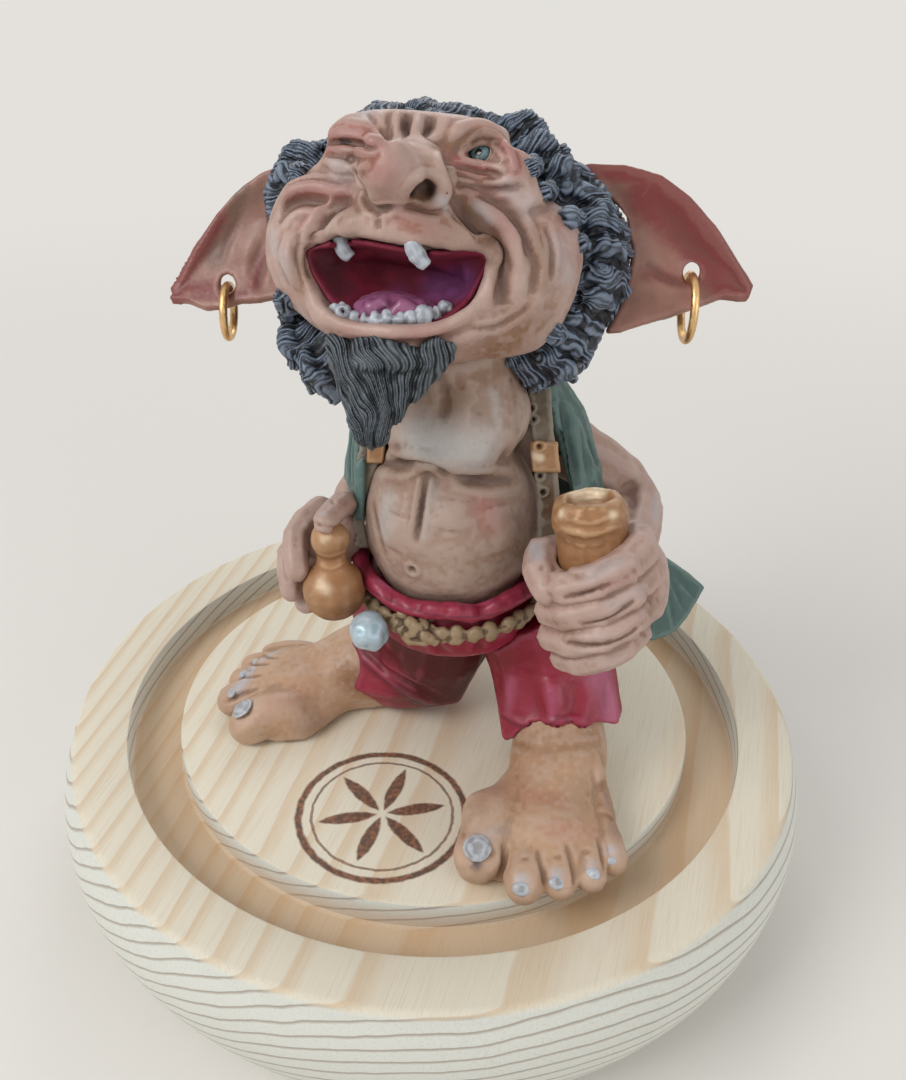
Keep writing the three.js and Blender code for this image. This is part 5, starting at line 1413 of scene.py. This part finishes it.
sculpted("torsoForm", "torso", "trunkPaint", "skin",
         shaping=lambda torso: torso.strokes(torsoForms), **torsoWork)
seat = sculpted("trousersSeat", "trousers_seat", "crimsonPaint", "crimson", **seatWork, **clothLook)
sculpted("waistFrill", "waist_frill", "crimsonPaint", "crimson", **frillWork)

beltStyle = {"links": 38, "sizes": (2.3, 1.6, 2.6), "lean": 18, "tilt": 12, "window": 9, "cord": 0.8,
             "cordPoints": 60}
beltKnots = {
    "melt": 2, "grain": 0.36,
    "rolls": [
        ([(398, 614), (411, 623), (424, 634), (438, 641)], [1.0, 1.6, 1.0], 0.7),
        ([(400, 626), (412, 636), (428, 640)], [1.0, 1.6, 1.0], 0.7),
        ([(433, 616), (421, 627), (406, 634)], [1.0, 1.6, 1.0], 0.7),
    ],
}


def beltLine(count):
    spots = np.array([vertex.co for vertex in nodes["belt"].data.vertices]) * 1000
    middle = (spots.max(0) + spots.min(0)) / 2
    angles = np.arctan2(spots[:, 1] - middle[1], spots[:, 0] - middle[0])
    line = []
    for i in range(count):
        angle = 2 * math.pi * i / count
        off = np.abs((angles - angle + math.pi) % (2 * math.pi) - math.pi)
        close = spots[off < math.radians(beltStyle["window"])]
        if len(close):
            line.append((close.mean(0), math.degrees(angle) + 90))
    return line


def beltPieces():
    made = []
    for i, (spot, turn) in enumerate(beltLine(beltStyle["links"])):
        lean = beltStyle["lean"] * (-1) ** i
        made.append(pellet(spot, beltStyle["sizes"], (lean, beltStyle["tilt"], turn)))
    cord = [spot for spot, _ in beltLine(beltStyle["cordPoints"])]
    made.append(roll(cord + cord[:1], [beltStyle["cord"]]))
    return made


sculpted("beltLinks", "belt", "bonePaint", "bone", clay=(0.36, 3, 0.0), lumps=beltPieces(), fresh=True,
         stages=[beltKnots], over=[seat.piece], grit=[(1.2, 0.25, 16)], close=0.10)
sculpted("beltBall", "belt_ball", "silverPaint", "silver_paint", clay=(0.3, 16, 0.25), grit=[(2.2, 0.4, 17)])


# trouser legs, feet and nails

legClay = {"clay": (0.46, 16, 0.2), "grit": [(6.0, 0.3, 18), (1.8, 0.06, 19)], **clothLook}
legWork = {
    "left": {
        "strokes": [
            (3.0, 0.8, 0.0, [(512, 665), (508, 690), (508, 712)]),
            (2.2, -0.7, 0.12, [(527, 668), (533, 695), (536, 720)]),
            (3.0, 0.8, 0.0, [(552, 675), (556, 700), (551, 716)]),
            (2.0, -0.8, 0.15, [(571, 680), (573, 704), (566, 718)]),
            (3.0, 0.7, 0.0, [(590, 675), (592, 700), (592, 723)]),
            (1.8, -0.6, 0.12, [(608, 675), (606, 700), (610, 723)]),
            (1.2, 0.8, 0.0, [(502, 712), (525, 724), (550, 722), (575, 720), (605, 733), (625, 726)]),
        ],
        "stainsAndLight": {
            # pink is painted highlight on the ridges of the folds and towards the leg's right end
            "pink": [
                (4.5, 1.0, [(598, 672), (612, 712)]), (2.0, 0.6, [(512, 680), (508, 712)]),
                (2.0, 0.5, [(552, 690), (552, 715)]),
            ],
            "dark": [
                (1.3, 0.45, [(502, 716), (525, 728), (550, 725), (560, 716), (587, 734), (610, 736),
                 (626, 729)]),
            ],
            "brown": [(3.0, 0.3, [(500, 662), (560, 655)])],
        },
    },
    "right": {
        "strokes": [
            (2.4, -0.7, 0.15, [(365, 636), (385, 655), (405, 675)]),
            (1.2, 0.7, 0.0, [(340, 634), (357, 653), (378, 672), (398, 686), (428, 702), (455, 711)]),
            (0.9, -0.5, 0.4, [(346, 630), (364, 649), (386, 668), (408, 682), (440, 698)]),
        ],
        "stainsAndLight": {
            # the broad brown is painted shade over the part of the leg beside the front leg
            "brown": [
                (12.0, 1.5, [(420, 650), (460, 670), (440, 690)]), (8.0, 0.7, [(370, 640), (400, 660)]),
            ],
            "dark": [
                (1.6, 0.45, [(338, 632), (355, 654), (376, 674), (396, 688), (426, 704), (460, 713)]),
            ],
        },
    },
}
# cloth down the right leg
ankleCloth = {"path": [(-5, 5, 84), (-8, 5.5, 75), (-12, 5.5, 66)], "radii": [9, 12, 12.6]}
for side in sides:
    wrap = [roll(smoothCurve(ankleCloth["path"], 4), ankleCloth["radii"])] if side == "right" else []
    sculpted("trouserLeg" + side.capitalize(), "trouser_leg_" + side, "crimsonPaint", "crimson", lumps=wrap,
             **legClay, **legWork[side])

footClay = {"clay": (0.46, 14, 0.15), "grit": [(6.0, 0.25, 20), (1.3, 0.07, 21)]}
footWork = {
    "left": {
        "stages": [{
            "melt": 12, "grain": 0.48,
            "rolls": [
                ([(520, 748), (509, 778), (494, 808), (482, 832)], [2.5, 5.0, 6.4, 4.0], -3.2),
                ([(598, 750), (600, 785), (607, 815)], [2.5, 4.2, 3.6], -2.4),
            ],
            "softens": [([(520, 748), (509, 778), (494, 808), (482, 832)], 5.0, 16)],
        }],
        "strokes": [
            (0.8, -0.8, 0.9, [(503, 842), (504, 862), (498, 882)]),
            (0.8, -0.6, 0.9, [(536, 846), (540, 864), (544, 886)]),
            (0.8, -0.6, 0.9, [(565, 842), (572, 864), (575, 887)]),
            (0.7, -0.6, 0.9, [(597, 838), (602, 857), (605, 873)]),
            (3.0, -0.4, 0.0, [(523, 790), (512, 815)]), (3.0, -0.4, 0.0, [(546, 785), (541, 812)]),
            (0.6, -0.3, 0.3, [(520, 860), (530, 858)]), (0.6, -0.3, 0.3, [(552, 858), (564, 857)]),
            (0.6, -0.3, 0.3, [(582, 853), (593, 851)]),
            (1.0, -0.3, 0.2, [(512, 742), (545, 749), (602, 744)]),
            (1.2, -0.5, 0.3, [(462, 850), (480, 848), (496, 858)]),
        ],
        "softens": [([(545, 770), (540, 815)], 10.0, 30)],
        "stainsAndLight": {
            "pale": [
                (2.2, 0.7, [(522, 880)]), (2.2, 0.6, [(557, 874)]), (2.0, 0.5, [(592, 864)]),
                (2.0, 0.6, [(611, 850)]), (3.0, 0.4, [(480, 840), (500, 830)]),
            ],
            "pink": [(4.0, 0.4, [(490, 790), (560, 800)]), (3.0, 0.5, [(550, 830), (590, 830)])],
            "brown": [
                # the first brown is painted shade under the trouser hem
                (6.0, 0.5, [(515, 745), (590, 742)]), (4.0, 0.7, [(607, 790), (615, 830)]),
                (4.0, 0.6, [(480, 800), (465, 835)]),
            ],
            "dark": [
                (2.7, 0.6, [(476, 863)]), (1.2, 0.7, [(522, 893)]), (1.1, 0.7, [(558, 887)]),
                (1.1, 0.7, [(595, 876)]),
            ],
        },
    },
    "right": {
        "stages": [{
            "melt": 12, "grain": 0.48,
            "rolls": [
                ([(335, 720), (300, 722), (268, 726)], [3.0, 5.0, 3.5], -3.4),
            ],
            "softens": [([(335, 720), (300, 722), (268, 726)], 5.0, 16)],
        }],
        "strokes": [
            (0.8, -0.8, 0.9, [(227, 702), (242, 694), (258, 688)]),
            (0.7, -0.6, 0.9, [(238, 680), (250, 677), (262, 675)]),
            (0.7, -0.6, 0.9, [(250, 664), (260, 664), (270, 664)]),
            (0.7, -0.5, 0.9, [(262, 655), (270, 657), (280, 658)]),
            (3.0, -0.4, 0.0, [(262, 688), (290, 685), (315, 687)]),
            (0.8, -0.3, 0.3, [(345, 660), (360, 680), (368, 700)]),
        ],
        "softens": [([(350, 690), (290, 705)], 10.0, 30)],
        "stainsAndLight": {
            "pale": [(2.6, 0.7, [(238, 688), (252, 670)]), (2.2, 0.6, [(262, 660), (275, 652)])],
            # brown is painted shade under the trouser hem, and darker towards the sole
            "brown": [(6.0, 0.8, [(350, 680), (385, 690)]), (4.0, 0.5, [(300, 730), (350, 720)])],
            "pink": [(4.0, 0.4, [(300, 690), (260, 715)])],
            "dark": [(2.0, 0.7, [(226, 716), (224, 732)])],
            # painted shade along the sole where the foot meets the plinth, and under the hem
            "washAndShade": [
                (1.6, 1.0, [(227, 747), (262, 747), (282, 742), (312, 738), (350, 723), (375, 713),
                 (425, 706)]),
            ],
        },
    },
}
feet = {side: sculpted("foot" + side.capitalize(), "foot_" + side, "footPaint", "skin",
                       **footClay, **footWork[side]) for side in sides}

nailStyle = {"sunk": 0.35, "shape": 0.8, "thick": 0.7}
nailSpots = {
    "left": [(521, 889, 2.1), (557, 883, 1.9), (593, 873, 1.8), (611, 861, 1.4)],
    "right": [(231, 692, 1.7), (243, 673, 1.5), (255, 661, 1.4)],
}


def nailPlates():
    plates = []
    for side, places in nailSpots.items():
        for u, v, size in places:
            spot, normal = struck([feet[side].piece], u, v)
            turn = Vector(normal).to_track_quat("Z", "Y").to_euler()
            sizes = (size, size * nailStyle["shape"], nailStyle["thick"])
            plates.append(pellet(spot - normal * nailStyle["sunk"], sizes, [math.degrees(a) for a in turn]))
    return plates


sculpted("smallToenails", None, "nailPaint", "ivory", clay=(0.2, 2, 0.0), lumps=nailPlates(), fresh=True,
         grit=[(1.2, 0.2, 35)])
for side in sides:
    sculpted("toenail" + side.capitalize(), "toenail_" + side, "nailPaint", "ivory", clay=(0.2, 8, 0.1),
             grit=[(1.6, 0.2, 22)])


# hands, arms, cup and gourd

handClay = {"clay": (0.42, 9, 0.15), "grit": [(3.0, 0.2, 23), (1.1, 0.06, 24)]}
handWork = {
    "left": {
        "strokes": [
            (0.8, -0.5, 0.4, [(556, 556), (566, 570), (580, 578)]),
            (0.7, -0.3, 0.3, [(632, 566), (640, 580)]), (0.7, -0.3, 0.3, [(645, 592), (653, 606)]),
            (0.7, -0.3, 0.3, [(640, 632), (650, 640)]),
            (0.6, -0.3, 0.5, [(528, 545), (530, 532), (540, 528), (549, 536)]),
            (2.4, 0.7, 0.0, [(600, 580), (640, 560)]),
            (0.9, -0.7, 1.2, [(562, 598), (585, 594), (612, 583)]),
            (0.9, -0.7, 1.2, [(580, 626), (610, 619), (636, 600)]),
            (0.9, -0.6, 1.1, [(556, 640), (590, 646), (622, 640), (645, 622)]),
        ],
        "stainsAndLight": {
            # pale is painted highlight on the lit side and knuckles of the fist; brown is painted shade on
            # its lower and right edges
            "pale": [
                (1.6, 0.9, [(533, 625)]), (1.5, 0.7, [(532, 600)]), (2.0, 0.5, [(590, 575), (620, 560)]),
                (2.0, 0.4, [(610, 605), (640, 590)]), (2.2, 0.8, [(534, 545), (538, 556)]),
            ],
            "dark": [(1.1, 0.5, [(541, 568)])],
            "brown": [(3.0, 0.6, [(575, 640), (560, 625)]), (3.0, 0.5, [(650, 610), (655, 635)])],
            "pink": [(2.5, 0.4, [(600, 590), (630, 575)])],
            "washAndShade": [(1.2, 0.7, [(545, 545), (552, 560)])],
        },
    },
    "right": {
        "strokes": [
            (0.7, -0.4, 0.4, [(310, 522), (325, 527), (345, 526)]),
            (0.5, -0.3, 0.3, [(330, 497), (334, 505)]),
        ],
        "stainsAndLight": {
            "pale": [(1.4, 0.6, [(322, 513)])],
            "pink": [(2.0, 0.4, [(343, 500)])],
            # the dark spot is painted shade where the hand meets the gourd
            "dark": [(1.2, 0.8, [(313, 569)])],
            "brown": [(2.5, 0.5, [(300, 560), (296, 585)])],
        },
    },
}
armClay = {"clay": (0.5, 20, 0.2), "grit": [(4.0, 0.25, 25)]}
armWork = {
    "left": {
        "strokes": [(2.0, -0.6, 0.3, [(628, 480), (634, 500), (630, 520)]),
                    (2.4, 0.5, 0.0, [(605, 450), (635, 470), (655, 500)])],
        "stainsAndLight": {
            "washAndShade": [(2.6, 0.35, [(630, 490), (632, 512)])],
            "pale": [(2.0, 0.6, [(658, 495), (655, 520)])],
        },
    },
    "right": {"strokes": [(1.4, -0.3, 0.2, [(300, 540), (310, 550)])]},
}
for side in sides:
    sculpted("hand" + side.capitalize(), "hand_" + side, "skinPaint", "skin", **handClay, **handWork[side])
    sculpted("arm" + side.capitalize(), "arm_" + side, "skinPaint", "skin", **armClay, **armWork[side])

cupStyle = {"rim": (33.2, -31.0, 131.0), "lean": (-12.0, -8.0), "fill": (6.2, 6.2, 1.5), "sunk": 2.6,
            "melt": 8, "grain": 0.34}
cupWork = {
    "clay": (0.34, 20, 0.35), "grit": [(3.0, 0.3, 26), (1.2, 0.1, 27)], "close": 0.12, "wide": 1.2,
    "strokes": [
        (0.7, -0.3, 0.3, [(556, 521), (588, 529), (620, 520)]),
        (0.7, -0.25, 0.3, [(558, 533), (590, 541), (618, 532)]),
    ],
    "stainsAndLight": {
        # pale is painted highlight on the cup's top and sides; brown is painted shade in the top's dimple and
        # darkens the cup along its bottom
        "pale": [
            (2.4, 0.9, [(575, 493), (600, 491)]), (1.4, 0.8, [(561, 513)]), (1.4, 0.7, [(613, 515)]),
        ],
        "brown": [(2.2, 0.9, [(588, 500)]), (2.0, 0.6, [(560, 538), (600, 544)])],
    },
}
gourdDents = (5.0, 0.25, 28)  # size, depth and seed
gourdWork = {
    "clay": (0.38, 60, 0.2), "close": 0.15, "wide": 2.0,
    "strokes": [(0.9, -0.6, 0.9, [(315, 556), (330, 562), (345, 556)])],
    "stainsAndLight": {
        # pale is painted highlight; the broad brown is painted shade on the gourd's lower right, away from
        # the light, and the dark spot is painted shade where the hand meets it
        "pale": [(2.0, 0.5, [(320, 583), (326, 590)]), (1.2, 0.5, [(323, 541), (328, 537)])],
        "brown": [(6.0, 0.8, [(350, 608), (335, 622)]), (2.0, 0.6, [(342, 548)])],
        "dark": [(1.0, 0.5, [(313, 569)])],
    },
}


def filledCup(cup):
    forward, aside = (math.radians(angle) for angle in cupStyle["lean"])
    leaning = Matrix.Rotation(forward, 3, "X") @ Matrix.Rotation(aside, 3, "Y")
    spot = np.array(cupStyle["rim"]) - np.array(leaning @ Vector((0, 0, 1))) * cupStyle["sunk"]
    cup.add([pellet(spot, cupStyle["fill"], (*cupStyle["lean"], 0))], cupStyle["melt"], cupStyle["grain"])


sculpted("goldCup", "cup", "goldPaint", "gold_paint", shaping=filledCup, **cupWork)
sculpted("gourdBottle", "gourd_bottle", "goldPaint", "gold_paint",
         shaping=lambda gourd: gourd.rough(*gourdDents), **gourdWork)


# braces, buckles and vest

strapClay = {"clay": (0.32, 5, 0.15), "grit": [(2.0, 0.15, 30)]}
strapHoles = [(531, 408), (533, 419), (540, 476), (543, 492)]  # only the left brace shows its holes
strapWork = {
    "left": {
        "strokes": [(0.55, -1.0, 1.3, [hole]) for hole in strapHoles],
        "stainsAndLight": {
            "dark": [(0.6, 1.0, [hole]) for hole in strapHoles],
            "brown": [(3.0, 0.8, [(546, 495), (549, 512)])],
        },
    },
    "right": {},
}
buckleClay = {"clay": (0.25, 6, 0.3), "grit": [(1.8, 0.15, 31)]}
buckleWidth = 0.62  # the right one's share of its solid's width, so that it stays clear of the vest


def narrowed(buckle):
    inner = buckle.spots[:, 0].max()
    buckle.spots[:, 0] = inner + (buckle.spots[:, 0] - inner) * buckleWidth
    buckle.renew()


buckleWork = {
    "left": {
        "strokes": [(0.6, -0.8, 1.2, [(539, 446)])],
        # the pale is a painted highlight on the buckle
        "stainsAndLight": {"dark": [(0.6, 0.9, [(539, 446)])], "pale": [(1.2, 0.9, [(533, 455), (540, 458)])]},
    },
    "right": {"shaping": narrowed},
}
for side in sides:
    sculpted("brace" + side.capitalize(), "brace_" + side, "strapPaint", "strap",
             **strapClay, **strapWork[side])
    sculpted("buckle" + side.capitalize(), "buckle_" + side, "goldPaint", "gold_paint", **buckleClay,
             **buckleWork[side])

vestClay = {"clay": (0.5, 8, 0.1), "grit": [(6.0, 0.3, 32), (1.8, 0.06, 33)], "close": 0.08, "wide": 1.1}
vestStrokes = {
    "left": [
        (2.0, 1.0, 0.0, [(549, 400), (558, 440), (566, 485)]),
        (1.5, -1.6, 0.9, [(562, 400), (570, 440), (577, 488)]),
        (2.0, 0.9, 0.0, [(575, 415), (586, 450), (597, 490)]),
        (1.3, -1.0, 0.7, [(587, 440), (600, 465), (613, 492)]),
        (0.7, -0.5, 0.5, [(552, 395), (560, 430), (570, 480)]),
    ],
    "right": [
        (1.0, -0.7, 0.7, [(354, 418), (350, 450), (350, 482)]),
        (1.4, 0.5, 0.0, [(362, 420), (357, 455), (357, 488)]),
    ],
    "back": [
        (1.6, -1.2, 0.8, [(655, 555), (672, 575), (690, 590)]),
        (1.6, 0.9, 0.0, [(650, 575), (668, 595), (684, 606)]),
        (1.4, -1.0, 0.7, [(652, 592), (664, 612), (668, 630)]),
    ],
}
for side, lines in vestStrokes.items():
    sculpted("vest" + side.capitalize(), "vest_" + side, "greenPaint", "green", strokes=lines, **vestClay)

for name in ("wire_spine", "wire_leg_left", "wire_leg_right"):
    nodes[name].data.materials.clear()
    nodes[name].data.materials.append(finishes["steelWire"])


# floor, backdrop and light

studio = {"paper": tone(228, 225, 220), "fleck": tone(208, 204, 198), "fleckShare": 0.06,
          "fleckNoise": (4, 3), "size": 8, "near": 0.22, "faded": 0.75, "world": 0.5, "aim": (0, 0, 0.1)}
lamps = {
    "window": {"power": 5.6, "spot": (-0.65, -0.45, 0.75), "size": 0.55, "colour": (1.0, 0.99, 0.98)},
    "fill": {"power": 2.6, "spot": (0.8, -0.6, 0.45), "size": 0.8, "colour": (1.0, 0.99, 0.98)},
    "back": {"power": 2.0, "spot": (0.1, 0.8, 0.7), "size": 0.6, "colour": (1, 1, 1)},
}


def mixShaders(tree, share, one, other, output):
    both = tree.nodes.new("ShaderNodeMixShader")
    for socket, value in zip(both.inputs, (share, one, other)):
        tree.links.new(value, socket)
    tree.links.new(both.outputs[0], tree.nodes[output].inputs["Surface"])


def paleFloor():
    deselect()
    bpy.ops.mesh.primitive_plane_add(size=studio["size"], location=(0, 0, 0))
    floor = bpy.context.object
    floor.name = "floor"
    cover = Finish("floorPaper", 0.9)
    flecks = cover.noise(*studio["fleckNoise"]) * studio["fleckShare"]
    cover.link(cover.mixed(flecks, studio["paper"], studio["fleck"]), "Base Color")
    glow = cover.make("ShaderNodeEmission", {}, {"Color": studio["paper"]})
    seen = cover.make("ShaderNodeLightPath", {}, {}, "Is Camera Ray")
    share = cover.between(cover.length(cover.place), studio["near"], studio["faded"]) * seen
    mixShaders(cover.tree, share.socket, cover.shader.outputs[0], glow.socket, "Material Output")
    floor.data.materials.append(cover.material)


def placeLamp(name, lamp):
    data = bpy.data.lights.new(name, "AREA")
    data.energy = lamp["power"]
    data.size = lamp["size"]
    data.color = lamp["colour"]
    light = bpy.data.objects.new(name, data)
    light.location = lamp["spot"]
    light.rotation_euler = (Vector(studio["aim"]) - Vector(lamp["spot"])).to_track_quat("-Z", "Y").to_euler()
    bpy.context.scene.collection.objects.link(light)


def lightTheRoom():
    world = bpy.data.worlds.new("room")
    bpy.context.scene.world = world
    world.use_nodes = True
    tree = world.node_tree
    sky = tree.nodes["Background"]
    sky.inputs["Color"].default_value = (1.0, 1.0, 1.0, 1)
    sky.inputs["Strength"].default_value = studio["world"]
    pale = tree.nodes.new("ShaderNodeBackground")
    pale.inputs["Color"].default_value = studio["paper"]
    path = tree.nodes.new("ShaderNodeLightPath")
    seen = tree.nodes.new("ShaderNodeMath")
    seen.operation = "MAXIMUM"
    tree.links.new(path.outputs["Is Camera Ray"], seen.inputs[0])
    tree.links.new(path.outputs["Is Glossy Ray"], seen.inputs[1])
    mixShaders(tree, seen.outputs[0], sky.outputs[0], pale.outputs[0], "World Output")
    for name, lamp in lamps.items():
        placeLamp(name, lamp)


deselect()
paleFloor()
lightTheRoom()
bpy.context.scene.view_settings.view_transform = "Standard"
print("stage lit")
